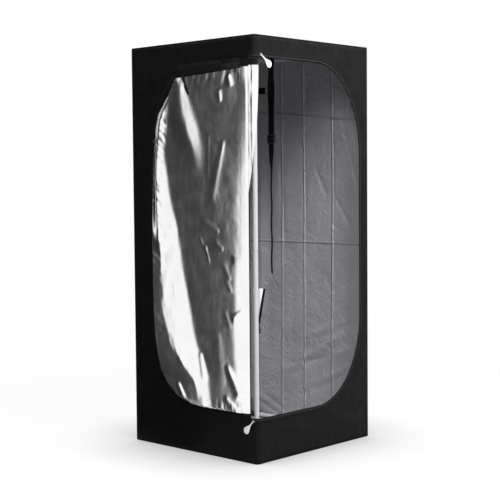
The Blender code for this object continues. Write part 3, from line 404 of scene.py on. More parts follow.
def onLine(points, runs, distance):
    # the points that a distance falls between, and its share of the way
    k = 0
    while k < len(points) - 2 and runs[k + 1] < distance:
        k += 1
    return points[k], points[k + 1], (distance - runs[k]) / max(runs[k + 1] - runs[k], 1e-9)


def smoothStep(value):
    value = min(max(value, 0.0), 1.0)
    return value * value * (3 - 2 * value)


def rough(x, y, z, octaves=3):
    return noise.fractal(Vector((x, y, z)), 1.0, 2.0, octaves)


def hump(distance, width):
    return math.exp(-((distance / width) ** 2))


def along(table, z):
    # the value at a height, from a table of (height, value)
    if z <= table[0][0]:
        return table[0][1]
    for (z0, v0), (z1, v1) in zip(table, table[1:]):
        if z <= z1:
            return v0 + (v1 - v0) * (z - z0) / (z1 - z0)
    return table[-1][1]


def softAlong(table, z):
    return sum(along(table, z + shift) for shift in (-0.03, -0.015, 0.0, 0.015, 0.03)) / 5


def crease(point, start, end, width, depth):
    # a fold between two points of a wall, dying out at both ends
    line = Vector(end) - Vector(start)
    away = Vector(point) - Vector(start)
    share = min(max(away.dot(line) / line.length_squared, 0), 1)
    return depth * hump((away - line * share).length, width) * (0.25 + 0.75 * math.sin(math.pi * share))


wallCloth = {
    # each wall's node and grid, and how far it bellies, in order round the tent
    "front": ("front_panel", 90, 150, 0.0012),
    "right": ("side_wall_right", 150, 300, 0.0045),
    "back": ("back_wall", 90, 150, 0.0012),
    "left": ("side_wall_left", 100, 170, 0.0030),
}
# flatShare is the share of a wall's grid before the corner, margin how much wider the openings are cut
wallCut = {"flatShare": 0.955, "size": (0.5946, 1.3906), "allowance": 0.016, "margin": 0.005}
# each fold as (start, end, width, depth), its ends as (distance from the wall's middle, height)
wallFolds = {
    "right": [
        ((0.10, 1.155), (0.008, 1.040), 0.008, 0.0024),
        ((0.004, 1.060), (0.004, 0.660), 0.009, 0.0022),
        ((-0.132, 1.160), (-0.130, 0.700), 0.010, 0.0022),
        ((0.112, 1.000), (0.114, 0.690), 0.010, 0.0016),
        ((-0.170, 1.170), (-0.215, 1.030), 0.009, 0.0024),
        ((-0.215, 1.030), (-0.252, 0.890), 0.009, 0.0024),
        ((0.215, 1.290), (0.232, 0.080), 0.016, -0.0050),
        ((0.170, 1.200), (0.190, 0.300), 0.018, 0.0030),
        ((0.227, 0.100), (0.080, 0.030), 0.012, 0.0040),
        ((0.060, 0.660), (0.075, 0.200), 0.016, 0.0018),
        ((-0.060, 0.690), (-0.070, 0.260), 0.018, 0.0018),
        ((-0.190, 0.690), (-0.200, 0.320), 0.016, 0.0020),
        ((-0.074, 1.309), (-0.188, 1.235), 0.010, -0.0034),
        ((0.140, 1.160), (0.019, 1.036), 0.009, 0.0034),
        ((0.140, 1.153), (0.106, 0.696), 0.008, 0.0024),
        ((-0.045, 0.993), (-0.098, 0.868), 0.009, 0.0030),
        ((-0.143, 0.868), (-0.229, 0.733), 0.010, 0.0036),
        ((0.130, 0.182), (-0.068, 0.295), 0.014, -0.0050),
        ((-0.068, 0.295), (-0.228, 0.385), 0.016, -0.0056),
        ((0.100, 0.222), (-0.122, 0.272), 0.012, 0.0044),
        ((-0.122, 0.272), (-0.227, 0.316), 0.012, -0.0050),
        ((0.024, 0.329), (-0.211, 0.418), 0.014, -0.0044),
        ((-0.067, 0.168), (-0.219, 0.253), 0.014, -0.0046),
        ((0.063, 0.096), (-0.157, 0.199), 0.014, 0.0040),
        ((0.259, 0.072), (0.121, 0.016), 0.010, 0.0044),
    ],
    "left": [
        ((0.215, 1.060), (0.275, 0.990), 0.012, 0.0030),
        ((0.200, 0.900), (0.270, 0.830), 0.012, 0.0028),
        ((0.205, 0.780), (0.265, 0.690), 0.012, 0.0026),
        ((0.225, 0.420), (0.270, 0.300), 0.014, 0.0026),
    ],
    "back": [
        ((-0.20, 1.05), (0.10, 0.90), 0.016, 0.0030),
        ((0.22, 0.85), (-0.05, 0.70), 0.016, 0.0030),
        ((-0.24, 0.62), (-0.02, 0.50), 0.014, 0.0026),
    ],
    "front": [
        ((0.262, 1.240), (0.290, 1.180), 0.010, 0.0022),
        ((0.262, 0.300), (0.286, 0.220), 0.010, 0.0022),
        ((-0.150, 0.100), (0.020, 0.060), 0.014, 0.0022),
        ((0.080, 0.115), (0.220, 0.070), 0.014, 0.0020),
    ],
}


def wallPoint(turn, run, z, proud):
    # a point of a wall seen from outside, run from its left end round its right corner
    axis, radius = tent["poleAxis"], tent["cornerRadius"]
    if run <= 2 * axis:
        return turn @ Vector((-axis + run, -tent["half"] - proud, z))
    angle = -math.pi / 2 + (run - 2 * axis) / radius
    reach = radius + proud
    return turn @ Vector((axis + reach * math.cos(angle), -axis + reach * math.sin(angle), z))


def wallPiece(side, quarter):
    node, columns, rows, slack = wallCloth[side]
    turn = Matrix.Rotation(quarter * math.pi / 2, 4, "Z")
    low, high = tent["edge"], tent["height"] - tent["edge"]
    arcLength = tent["cornerRadius"] * math.pi / 2
    straight = 2 * tent["poleAxis"]
    sx, sy, sz = quarter * 7.3, 2.1, 4.7
    flatShare = wallCut["flatShare"]

    def shape(a, b):
        run = a * straight / flatShare if a <= flatShare else straight + (a - flatShare) / (1 - flatShare) * arcLength
        z = low + (high - low) * b
        across = run - tent["poleAxis"]
        middle = max(1 - (across / tent["poleAxis"]) ** 2, 0) if run <= straight else 0
        tall = math.sin(math.pi * b)
        still = min(middle * 5, 1) * min(tall * 6, 1)
        proud = slack * middle * tall
        place = (-across if side == "left" else across, z)
        for start, end, width, depth in wallFolds[side]:
            proud += crease(place, start, end, width, depth) * min(middle * 4, 1)
        proud += 0.0011 * still * rough(across * 7 + sx, z * 5 + sy, sz)
        if side == "right":
            proud += 0.0013 * still * rough(across * 22 + z * 5 + sx, z * 15 + sy, sz)
        elif side == "left" and across > -0.21 and 0.11 < z < 1.345:
            # under the laid back door
            proud = min(proud, 0.0)
        return wallPoint(turn, run, z, max(proud, -0.006 if side == "right" else -0.001))

    lining = rightLiningMat if side == "right" else liningMat
    return sheetPiece(f"{side}Canvas", columns, rows, shape, lambda p: Vector((p.x, p.y, 0)),
                      (straight + arcLength, high - low), tent["canvas"], (canvasMat, lining), "tent", None, [node])


def doorLine(spread, nearX):
    # the doorway's outline in (x, z), from its hinge side over the top and round
    wide, high = doorway["cornerWide"], doorway["cornerHigh"]
    steps = 16
    points = [(nearX, doorway["high"] + spread)]
    for centreZ, start in ((doorway["high"] - high, math.pi / 2), (doorway["low"] + high, 0)):
        for k in range(steps + 1):
            angle = start - math.pi / 2 * k / steps
            x = doorway["farX"] - wide + wide * math.cos(angle)
            z = centreZ + high * math.sin(angle)
            out = Vector((math.cos(angle) / wide, math.sin(angle) / high)).normalized()
            points.append((x + out.x * spread, z + out.y * spread))
    points.append((nearX, doorway["low"] - spread))
    return points


duct = {"z": 1.180, "hole": 0.076, "root": 0.0757, "mouth": 0.0657}
vent = {"z": 0.200, "hole": (0.260, 0.130), "flap": (0.296, 0.166), "low": 0.117, "off": 0.0018,
        "cut": (0.297, 0.167), "thick": 0.0014}


def cylinder(radius, depth, matrix):
    bm = bmesh.new()
    bmesh.ops.create_cone(bm, cap_ends=True, segments=64, radius1=radius, radius2=radius, depth=depth, matrix=matrix)
    return bm


def block(place, size):
    bm = bmesh.new()
    bmesh.ops.create_cube(bm, matrix=Matrix.Translation(place) @ Matrix.Diagonal((*size, 1)))
    return bm


def walls():
    made = {side: wallPiece(side, quarter) for quarter, side in enumerate(wallCloth)}
    half, margin, upright = tent["half"], wallCut["margin"], Matrix.Rotation(math.pi / 2, 4, "X")
    outside, cornerX = -half - 0.03, -0.2773
    notch = [(outside, outside), (cornerX, outside), (cornerX, seam["y"]), (outside, seam["y"])]
    cuts = (
        ("front", "doorCut", blockFrom(doorLine(margin, -half - 0.02), upright, half - 0.02, half + 0.03)),
        ("left", "seamCut", blockFrom(notch, Matrix(), doorway["low"] - margin, doorway["high"] + margin)),
        ("back", "ductCut", cylinder(duct["hole"], 0.04, Matrix.Translation((0, half, duct["z"])) @ upright)),
        ("back", "ventCut", block((0, half, vent["z"]), (vent["hole"][0], 0.03, vent["hole"][1]))),
    )
    for side, name, bm in cuts:
        cutWith(bake(made[side]), shaped(name, bm, canvasMat))
    for side in ("front", "left", "back", "right"):
        item = made[side]
        area = sum(face.area for face in item.data.polygons) / (1 if item.modifiers else 2)
        declare(item, wallCut["size"], area, wallCut["allowance"])


def roofAndFloor():
    half = tent["half"] - tent["edge"]
    radius = tent["cornerRadius"] - tent["edge"]

    def roofShape(a, b):
        x, y = (a - 0.5) * 2 * half, (b - 0.5) * 2 * half
        middle = max(1 - (x / half) ** 4, 0) * max(1 - (y / half) ** 4, 0)
        sag = (0.0012 * rough(x * 6, y * 6, 3) - 0.004) * middle
        return rounded(x, y, half, radius, tent["height"] - piping["radius"] + tent["canvas"] / 2 + sag)

    def floorShape(a, b):
        return rounded((a - 0.5) * 2 * half, (b - 0.5) * 2 * half, half, radius, 0.0)

    for name, count, shape, up, held, bars in (
        ("roof", 70, roofShape, 1, "stretched", ["roof_bar_front", "roof_bar_back"]),
        ("floor", 60, floorShape, -1, "laid", ["floor_bar_front"]),
    ):
        sheetPiece(f"{name}Canvas", count, count, shape, facing(0, 0, up), (2 * half, 2 * half), tent["canvas"],
                   (canvasMat, liningMat), "tent", held, [f"{name}_panel"])


def rounded(x, y, half, radius, z):
    # pulls a square's corners in to a radius
    inner = half - radius
    cx, cy = min(max(x, -inner), inner), min(max(y, -inner), inner)
    off = Vector((x - cx, y - cy))
    if abs(x) > inner and abs(y) > inner:
        off = off.normalized() * max(abs(off.x), abs(off.y))
    return Vector((cx + off.x, cy + off.y, z))


def loopCurve(name, points, radius, material, body, closed=True):
    line = bpy.data.curves.new(name, "CURVE")
    line.dimensions = "3D"
    line.bevel_depth = radius
    line.bevel_resolution = 3
    line.use_fill_caps = True
    spline = line.splines.new("POLY")
    spline.points.add(len(points) - 1)
    for point, spot in zip(spline.points, points):
        point.co = (*spot, 1)
    spline.use_cyclic_u = closed
    item = linked(name, line)
    bpy.context.view_layer.update()
    mesh = bpy.data.meshes.new_from_object(item.evaluated_get(bpy.context.evaluated_depsgraph_get()))
    bpy.data.objects.remove(item)
    mesh.materials.clear()
    mesh.shade_smooth()
    solid = linked(name, mesh, material)
    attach(solid, body)
    return solid


piping = {"radius": 0.0022, "arcSteps": 8, "sideSteps": 16}


def pipingLine(z):
    axis, reach = tent["poleAxis"], tent["cornerRadius"] - piping["radius"]
    corners = ((1, 1), (-1, 1), (-1, -1), (1, -1))
    points = []
    for k, (sx, sy) in enumerate(corners):
        centre = Vector((sx * axis, sy * axis, z))
        for step in range(piping["arcSteps"] + 1):
            angle = (k + step / piping["arcSteps"]) * math.pi / 2
            points.append(centre + reach * Vector((math.cos(angle), math.sin(angle), 0)))
        nextX, nextY = corners[(k + 1) % 4]
        last = points[-1]
        goal = Vector((nextX * axis, nextY * axis, z)) + last - centre
        points += [last.lerp(goal, step / piping["sideSteps"]) for step in range(1, piping["sideSteps"])]
    return points


def pipings():
    radius = piping["radius"]
    for name, z in (("roof", tent["height"] - radius), ("floor", radius)):
        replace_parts(loopCurve(f"{name}Piping", pipingLine(z), radius, webMat, "tent"), f"{name}_piping")


silverDoor = {
    # the free edge, then the lines of its lit folds, as (height, distance from the corner) seen from the front
    "edge": [(0.160, 0.240), (0.165, 0.303), (0.186, 0.376), (0.227, 0.430), (0.278, 0.463), (0.341, 0.480),
             (0.391, 0.489), (0.468, 0.494), (0.554, 0.496), (0.639, 0.496), (0.724, 0.497), (0.757, 0.496),
             (0.842, 0.493), (0.922, 0.490), (0.990, 0.486), (1.049, 0.480), (1.099, 0.476), (1.157, 0.464),
             (1.197, 0.432), (1.229, 0.402), (1.289, 0.367)],
    "rollOuter": [(0.173, 0.258), (0.225, 0.275), (0.263, 0.310), (0.297, 0.351), (0.336, 0.381), (0.388, 0.417),
                  (0.450, 0.437), (0.534, 0.450), (0.641, 0.452), (0.725, 0.463), (0.778, 0.470), (0.863, 0.473),
                  (0.948, 0.475), (1.032, 0.468), (1.074, 0.461), (1.157, 0.446), (1.225, 0.393)],
    "rollInner": [(0.166, 0.217), (0.239, 0.222), (0.297, 0.227), (0.331, 0.255), (0.379, 0.281), (0.440, 0.295),
                  (0.542, 0.317), (0.624, 0.340), (0.728, 0.358), (0.780, 0.367), (0.864, 0.399), (0.947, 0.413),
                  (1.031, 0.432), (1.073, 0.424), (1.155, 0.402), (1.221, 0.388)],
    "apexOuter": [(0.940, 0.263), (1.028, 0.285), (1.111, 0.325), (1.194, 0.350), (1.276, 0.354)],
    "apexInner": [(0.940, 0.236), (1.027, 0.238), (1.108, 0.260), (1.191, 0.292), (1.275, 0.335)],
    "hingeRoll": [(0.160, 0.072), (0.228, 0.075), (0.294, 0.090), (0.354, 0.101), (0.415, 0.100), (0.454, 0.104),
                  (0.512, 0.088), (0.563, 0.098), (0.616, 0.092), (0.697, 0.078), (0.736, 0.076), (0.826, 0.078),
                  (0.865, 0.070), (0.944, 0.060), (1.022, 0.045), (1.100, 0.022), (1.177, 0.006), (1.235, 0.030),
                  (1.290, 0.052)],
    # how steep its rolls stand, the fall past their crest low down, the soft widths at foot and crest, and the gathers
    "slope": 0.20,
    "fall": -0.035,
    "footSoft": 0.034,
    "crestSoft": 0.022,
    "gathers": 0.0012,
    "low": 0.162,
    "high": 1.281,
    "sewn": 0.0285,
    # the film's near side, the share of its width where it turns back, and by how far
    "near": 0.0593,
    "turn": 0.965,
    "back": 0.010,
    "thick": 0.0008,
    "cut": (0.560, 1.200),
}
# where the photo's camera stands
seenFrom = Vector((-3.1369, -2.9271, 0.9297))
stepsPerMetre = 4000


@lru_cache(maxsize=None)
def linesAtStep(step):
    # the edge and the fold lines at a height counted in quarter millimetres
    z = step / stepsPerMetre
    edge = along(silverDoor["edge"], z)
    outer = min(softAlong(silverDoor["rollOuter"], z), edge - 0.004)
    inner = min(softAlong(silverDoor["rollInner"], z), outer - 0.008)
    hinge = softAlong(silverDoor["hingeRoll"], z)
    return edge, outer, inner, hinge, softAlong(silverDoor["apexOuter"], z), softAlong(silverDoor["apexInner"], z)


def doorLines(z):
    return linesAtStep(round(z * stepsPerMetre))


def softPlus(reach, width):
    # the reach where it is above nothing, its corner rounded over a width
    share = reach / width + 0.5
    if share <= 0:
        return 0.0
    return reach if share >= 1 else width * (share ** 3 - share ** 4 / 2)


def ramp(u, inner, outer, fall, soft=0.006):
    # rises evenly from inner to outer, then falls away again
    total = 0.0
    for shift in (-soft, -soft / 2, 0.0, soft / 2, soft):
        at = u + shift
        if at > outer:
            total += 1 - smoothStep((at - outer) / fall)
        elif at > inner:
            total += (at - inner) / (outer - inner)
    return total / 5


def doorBase(u, z):
    # the film's big folds above the plane of the door
    edge, outer, inner, hinge, apexOuter, apexInner = doorLines(z)
    slope, sewn = silverDoor["slope"], silverDoor["sewn"]
    pastCrest = softPlus(u - outer, silverDoor["crestSoft"])
    wide = 0.045 + 0.100 * smoothStep((z - 0.58) / 0.25) - 0.100 * smoothStep((z - 1.16) / 0.08)
    level = slope * (max(u, sewn) - sewn - softPlus(max(u, sewn) - hinge, wide) + softPlus(sewn - hinge, wide))
    rest = max(edge - outer, 0.004)
    high = smoothStep((z - 0.66) / 0.18)
    roll = slope * (softPlus(u - inner, silverDoor["footSoft"]) - pastCrest)
    roll -= slope * (outer - inner) * smoothStep((u - outer) / rest) * high
    roll -= silverDoor["fall"] * pastCrest * (1 - high)
    strength = smoothStep((z - 0.90) / 0.22) * smoothStep((1.30 - z) / 0.02)
    apex = slope * 0.82 * strength * (apexOuter - apexInner) * ramp(u, apexInner, apexOuter, 0.090, 0.010)
    flat = 0.0015 * smoothStep((u - 0.03) / 0.20)
    return (level + flat) * (1 - high * smoothStep((u - outer) / rest)) + max(roll, 0.0) + apex


def fold(u, z, start, end, narrow, wide):
    reach = 3 * max(narrow, wide)
    if not min(start[1], end[1]) - reach < z < max(start[1], end[1]) + reach:
        return 0.0
    line = Vector(end) - Vector(start)
    away = Vector((u, z)) - Vector(start)
    share = away.dot(line) / line.length_squared
    held = min(max(share, 0), 1)
    ridge = hump((away - line * held).length, narrow + (wide - narrow) * held)
    return ridge * smoothStep(share / 0.15 + 0.5) * smoothStep((1 - share) / 0.3 + 0.35)


# each as (height, start, end, width at the start, width at the end)
smallFolds = (
    (0.0018, (0.143, 1.060), (0.206, 0.850), 0.009, 0.020),
    (0.0005, (0.212, 1.080), (0.218, 0.930), 0.006, 0.008),
    (0.0006, (0.262, 0.742), (0.226, 0.690), 0.004, 0.005),
    (0.0009, (0.232, 0.712), (0.212, 0.650), 0.005, 0.005),
    (0.0032, (0.046, 0.668), (0.108, 0.668), 0.004, 0.011),
    (0.0026, (0.058, 0.505), (0.110, 0.470), 0.006, 0.012),
    (0.0040, (0.078, 0.215), (0.136, 0.312), 0.018, 0.011),
    (0.0034, (0.088, 0.160), (0.148, 0.206), 0.015, 0.010),
    (0.0036, (0.347, 0.183), (0.374, 0.231), 0.010, 0.008),
    (0.0026, (0.120, 1.276), (0.108, 1.238), 0.007, 0.014),
    (0.0020, (0.164, 1.230), (0.156, 1.190), 0.014, 0.006),
    (0.0020, (0.085, 1.292), (0.030, 1.296), 0.006, 0.006),
    (0.0014, (0.262, 0.345), (0.242, 0.250), 0.010, 0.014),
    (0.0010, (0.180, 0.420), (0.160, 0.240), 0.018, 0.024),
    (0.0009, (0.118, 0.600), (0.150, 0.660), 0.009, 0.014),
    (0.0008, (0.112, 0.560), (0.140, 0.610), 0.008, 0.012),
    (0.0007, (0.120, 0.440), (0.146, 0.500), 0.008, 0.012),
    (0.0012, (0.170, 0.760), (0.250, 0.800), 0.010, 0.014),
    (0.0010, (0.150, 0.700), (0.190, 0.730), 0.008, 0.010),
)


def doorRise(u, z):
    # how far the film stands out from the door's plane, at a place seen from the front
    edge, outer, inner = doorLines(z)[:3]
    rise = doorBase(u, z)
    for height, start, end, narrow, wide in smallFolds:
        rise += height * fold(u, z, start, end, narrow, wide)
    within = smoothStep((u - 0.05) / 0.03)
    top = smoothStep((z - 1.225) / 0.055) * within
    foot = smoothStep((0.205 - z) / 0.04) * within
    rise += silverDoor["gathers"] * top * noise.noise(Vector((u * 44 + z * 12, z * 22, 1.7)))
    rise += silverDoor["gathers"] * 1.6 * foot * noise.noise(Vector((u * 75, z * 12, 8.1)))
    rim = smoothStep((u - edge + 0.060) / 0.03)
    pucker = 0.10 + 0.9 * hump(z - 1.11, 0.06) + 0.6 * hump(z - 0.88, 0.07) + 0.3 * hump(z - 0.70, 0.04)
    rise += 0.0038 * rim * pucker * noise.noise(Vector((u * 20, (z - 0.55 * u) * 62, 3.3)))
    rise += 0.0006 * within * rough(u * 14, z * 8, 5.2)
    rise += 0.0012 * ramp(u, inner, outer, 0.01) * rough(u * 24, z * 15, 2.2, 2)
    return max(rise, 0.0) + 0.0016


def seenPoint(u, z, rise):
    # a point that far out from the wall, on the line of sight of a place on the wall
    flat = Vector((-tent["half"], u - tent["half"], z))
    return flat.lerp(seenFrom, (seam["standoff"] + rise) / (-tent["half"] - seenFrom.x))


@lru_cache(maxsize=None)
def rowStart(level):
    # the place on the wall that is seen where the film is sewn on
    start = silverDoor["near"]
    for _ in range(3):
        start += silverDoor["near"] - tent["half"] - seenPoint(start, level, doorRise(start, level)).y
    return start


def silverPanel():
    d = silverDoor

    def shape(a, b):
        level = d["low"] + (d["high"] - d["low"]) * b
        start = rowStart(level)
        turned = max(a - d["turn"], 0) / (1 - d["turn"])
        u = start + (doorLines(level)[0] - start) * (1 - (1 - min(a / d["turn"], 1)) ** 1.12)
        z = level + max(0.017 * (1 - u / 0.36) * b ** 6, 0)
        # past its edge the film turns back to the door behind it
        return seenPoint(u - d["back"] * turned, z, max(doorRise(u, z) * (1 - turned), 0.0016))

    item = sheetPiece("silverDoor", 150, 260, shape, leftward, d["cut"], d["thick"], (silverMat, canvasMat), "door",
                      "gathered", ["door_panel"])
    flat = crisp(item).data.uv_layers["flat"].data
    for face in item.data.polygons:
        if max(flat[k].uv.x for k in face.loop_indices) > (d["turn"] + 0.001) * d["cut"][0]:
            face.material_index = 1
    pressShut(item)


def blackEnds(item, low, high):
    # the black edging under and over the film
    item.data.materials.append(webMat)
    for face in item.data.polygons:
        if not low < face.center.z < high:
            face.material_index = 2


silverStrip = {"from": 0.0281, "wide": 0.0316, "low": 0.1550, "high": 1.3210, "thick": 0.0008, "cut": (0.0335, 1.169),
               "filmLow": 0.1665, "filmHigh": 1.297}


def hingeStrip():
    s = silverStrip

    def shape(a, b):
        u = s["from"] + s["wide"] * a
        z = s["low"] + (s["high"] - s["low"]) * b
        level = min(max(z, 0.17), 1.27)
        rise = 0.0
        for _ in range(3):
            rise = doorRise(2 * u - tent["half"] - seenPoint(u, level, rise).y, level)
        rise = rise * smoothStep(a / 0.2) - 0.0001 * smoothStep((a - 0.9) / 0.1)
        return Vector((doorPlane - max(rise, 0), u - tent["half"], z))

    item = sheetPiece("silverStrip", 12, 200, shape, leftward, s["cut"], s["thick"], (silverMat, canvasMat),
                      "door_strip", "stretched", ["door_hinge_strip"])
    blackEnds(crisp(item), s["filmLow"], s["filmHigh"])
    pressShut(item)


tuck = {"reach": 0.0122, "side": 0.0180, "front": 0.0074, "high": 1.324, "foot": 0.880, "lean": 0.0024,
        "least": 0.0012, "thick": 0.0009, "cut": 0.446, "filmHigh": 1.301}


def cornerTuck():
    # the cloth that is still zipped round the corner above the open door
    axis, reach = tent["poleAxis"], tuck["reach"]
    quarter = reach * math.pi / 2
    total = tuck["side"] + quarter + tuck["front"]

    def shape(a, b):
        run = a * total
        z = tuck["high"] - ((tuck["high"] - tuck["foot"]) * (1 - a) ** 0.5 + tuck["least"]) * (1 - b)
        ripple = 0.0006 * noise.noise(Vector((a * 4, z * 24, 6.1)))
        out = reach + max(0.0010 * math.sin(math.pi * b) * math.sin(math.pi * a) + ripple, 0)
        if run < tuck["side"]:
            lean = tuck["lean"] * smoothStep(1 - run / tuck["side"])
            return Vector((-axis - out - lean, tuck["side"] - axis - run, z))
        run -= tuck["side"]
        if run < quarter:
            angle = math.pi + run / reach
            return Vector((-axis + out * math.cos(angle), -axis + out * math.sin(angle), z))
        return Vector((-axis + run - quarter, -axis - out, z))

    item = sheetPiece("cornerTuck", 26, 90, shape, facing(-1, -1, 0), (total, tuck["cut"]), tuck["thick"],
                      (silverMat, canvasMat), "tent", "gathered", ["door_corner_tuck"])
    blackEnds(crisp(item), 0, tuck["filmHigh"])


hem = {"from": 0.0040, "wide": 0.297, "proud": 0.0015, "thick": 0.0012, "top": 1.3235, "foot": (0.1545, 0.1660),
       "notch": 1.3345, "notchR": 0.060}


def hemBand():
    # the black edge of the door above and below the film
    def bandShape(lowLine, highLine):
        def shape(a, b):
            s = hem["from"] + hem["wide"] * a
            return Vector((doorPlane - hem["proud"], seam["foldY"] + s, lowLine(s) + (highLine(s) - lowLine(s)) * b))
        return shape

    def notch(s):
        off = max(s - seam["strip"], 0)
        return hem["notch"] - math.sqrt(hem["notchR"]**2 - off**2) if off < hem["notchR"] else hem["top"]

    def topLow(s):
        return min(1.280 + 0.014 * (1 - s / 0.441), notch(s) - 0.008) - 0.004

    def topHigh(s):
        return min(notch(s), hem["top"])

    low, high = hem["foot"]
    for name, rows, shape, wide, stands in (
        ("doorHemTop", 4, bandShape(topLow, topHigh), 0.046, ["door_hem"]),
        ("doorHemFoot", 3, bandShape(lambda s: low, lambda s: high), 0.0125, []),
    ):
        sheetPiece(name, 60, rows, shape, leftward, (0.300, wide), hem["thick"], (webMat,), "door", "stretched",
                   stands)


ring = {"length": 1.80, "thick": 0.0012, "hingeX": 0.006}


def ringBand(name, inner, outer, material, node):
    # a flat band of the door's own plane between two outlines shaped like the doorway
    shift = -doorPlane - seam["draw"]
    lines = []
    for spread in (inner, outer):
        lines.append([Vector((x + shift, z)) for x, z in doorLine(spread, ring["hingeX"] - shift)])
    count = len(lines[0]) - 1

    def shape(a, b):
        k = min(int(a * count), count - 1)
        near, far = (line[k].lerp(line[k + 1], a * count - k) for line in lines)
        s, z = near.lerp(far, b)
        return Vector((doorPlane, seam["foldY"] + s, z))

    sheetPiece(name, count * 3, 4, shape, leftward, (ring["length"], outer - inner), ring["thick"], (material,),
               "door_edge", "folded", [node])


wallZip = {"skin": 0.0003, "wide": 0.018, "proud": 0.0012, "thick": 0.0012, "pitch": 0.0032, "toothIn": 0.006,
           "toothOut": 0.0016, "tooth": (0.0018, 0.0036, 0.0011)}


def teeth(name, spots):
    # one small block for each tooth, at (place, along, out)
    bm = bmesh.new()
    for place, run, out in spots:
        turn = Matrix((run, out.cross(run), out)).transposed().to_4x4()
        turn.translation = place
        bmesh.ops.create_cube(bm, matrix=turn @ Matrix.Diagonal((*wallZip["tooth"], 1)))
    item = shaped(name, bm, plasticMat)
    item.data.shade_flat()
    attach(item, "tent")


def wallTapeLine():
    # the wall's zip line: (point on the opening's edge, away from the opening, out of the wall)
    axis, skin = tent["poleAxis"], -tent["half"] - wallZip["skin"]
    reach = tent["cornerRadius"] + wallZip["skin"]
    forward = Vector((0, -1, 0))

    def fromSeam(z, lift, last):
        # from the seam round the corner, then straight on to the start of the curve
        away = Vector((0, 0, lift))
        part = [(Vector((skin, seam["y"] - wallZip["skin"], z)), away, Vector((-1, 0, 0)))]
        for k in range(9):
            angle = math.pi + math.pi / 2 * k / 8
            out = Vector((math.cos(angle), math.sin(angle), 0))
            part.append((Vector((-axis, -axis, z)) + out * reach, away, out))
        for k in range(1, 12):
            part.append((Vector((-axis + (last + axis) * k / 12, skin, z)), away, forward))
        return part

    curve = []
    for (x0, z0), (x1, z1) in list(zip(doorLine(0.0, -axis), doorLine(wallZip["wide"], -axis)))[1:-1]:
        curve.append((Vector((x0, skin, z0)), Vector((x1 - x0, 0, z1 - z0)).normalized(), forward))
    foot = fromSeam(doorway["low"], -1, curve[-1][0].x)
    return fromSeam(doorway["high"], 1, curve[0][0].x) + curve + foot[::-1]


def zipTapes():
    spots = wallTapeLine()
    runs = runsOf((end[0] - start[0]).length for start, end in zip(spots, spots[1:]))
    total = runs[-1]

    def at(distance):
        first, second, share = onLine(spots, runs, distance)
        return [start.lerp(end, share) for start, end in zip(first, second)]

    def shape(a, b):
        place, away, out = at(a * total)
        return place + away * (wallZip["wide"] * b) + out * wallZip["proud"]

    def outward(point):
        return Vector((point.x, -1.5, 0)) if point.y < -0.29 else Vector((-1, 0, 0))

    sheetPiece("wallZipTape", 330, 5, shape, outward, (total, wallZip["wide"]), wallZip["thick"], (webMat,), "tent",
               "stretched", ["wall_zip_tape"])
    marks = []
    for k in range(int(total / wallZip["pitch"])):
        place, away, out = at(k * wallZip["pitch"])
        out.normalize()
        ahead = (at(min(k * wallZip["pitch"] + 0.001, total))[0] - place).normalized()
        run = (ahead - out * ahead.dot(out)).normalized()
        marks.append((place + away.normalized() * wallZip["toothIn"] + out * wallZip["toothOut"], run, out))
    teeth("wallZipTeeth", marks)


binding = {"wide": 0.012, "high": 1.174, "proud": 0.0018, "thick": 0.0014, "off": 0.0003}


def seamBinding():
    def shape(a, b):
        y = seam["y"] + binding["off"] + binding["wide"] * a
        return Vector((-tent["half"] - binding["proud"], y, doorway["low"] + binding["high"] * b))

    sheetPiece("seamBinding", 4, 120, shape, leftward, (binding["wide"], binding["high"]), binding["thick"],
               (webMat,), "tent", "stretched", ["hinge_seam_binding"])


stayCloth = {"top": (0.274, 1.312), "drop": (0.032, 0.090), "wide": 0.010, "long": 0.098, "thick": 0.0012,
             "fromCorner": 0.0587, "clear": 0.0015, "least": 0.0032}


def stay():
    # the webbing stay over the door's corner, rumpled as it hangs
    c = stayCloth

    def shape(a, b):
        share = 1 - b
        s = c["top"][0] - c["drop"][0] * share + 0.0012 * math.sin(share * 11)
        z = c["top"][1] - c["drop"][1] * share
        lift = c["least"]
        if z < 1.290:
            spread = (-0.0075, -0.005, 0, 0.005, 0.0075)
            lift = max(doorRise(s + c["fromCorner"] + off, min(z, 1.279)) for off in spread)
        lift = max(lift + c["clear"], c["least"]) + 0.0010 * math.sin(share * 19)
        return Vector((doorPlane - lift, seam["foldY"] + s + (a - 0.5) * c["wide"], z))

    item = sheetPiece("stay", 4, 40, shape, leftward, (c["wide"], c["long"]), c["thick"], (webMat,), "door", "hung",
                      ["door_stay"])
    pressShut(item)


edgeLoop = {"thick": 0.0016, "in": 0.010, "turn": math.radians(80), "Upper": (0.905, 0.012), "Lower": (0.848, 0.011)}


def edgeLoops():
    # small elastic loops sewn to the door's free edge
    for name in ("Upper", "Lower"):
        z, size = edgeLoop[name]
        u = doorLines(z)[0] - 0.004
        base = Vector((doorPlane - doorRise(u - 0.004, z) - 0.0012, u - tent["half"] - edgeLoop["in"], z))
        points = []
        for k in range(13):
            angle = edgeLoop["turn"] * (k / 6 - 1)
            out, up = math.cos(angle), math.sin(angle)
            points.append(base + Vector((-0.0016 * out, size * 0.75 * out, size * up)))
        pressShut(loopCurve(f"edgeLoop{name}", points, edgeLoop["thick"], webMat, "door", closed=False))


tieShape = {"low": 0.455, "high": 0.120, "lowR": 0.0091, "grow": 0.0289, "start": math.radians(58), "front": 0.0060,
            "past": 0.009, "wide": (0.050, 0.010), "long": 0.124, "thick": (0.0009, 0.0012)}


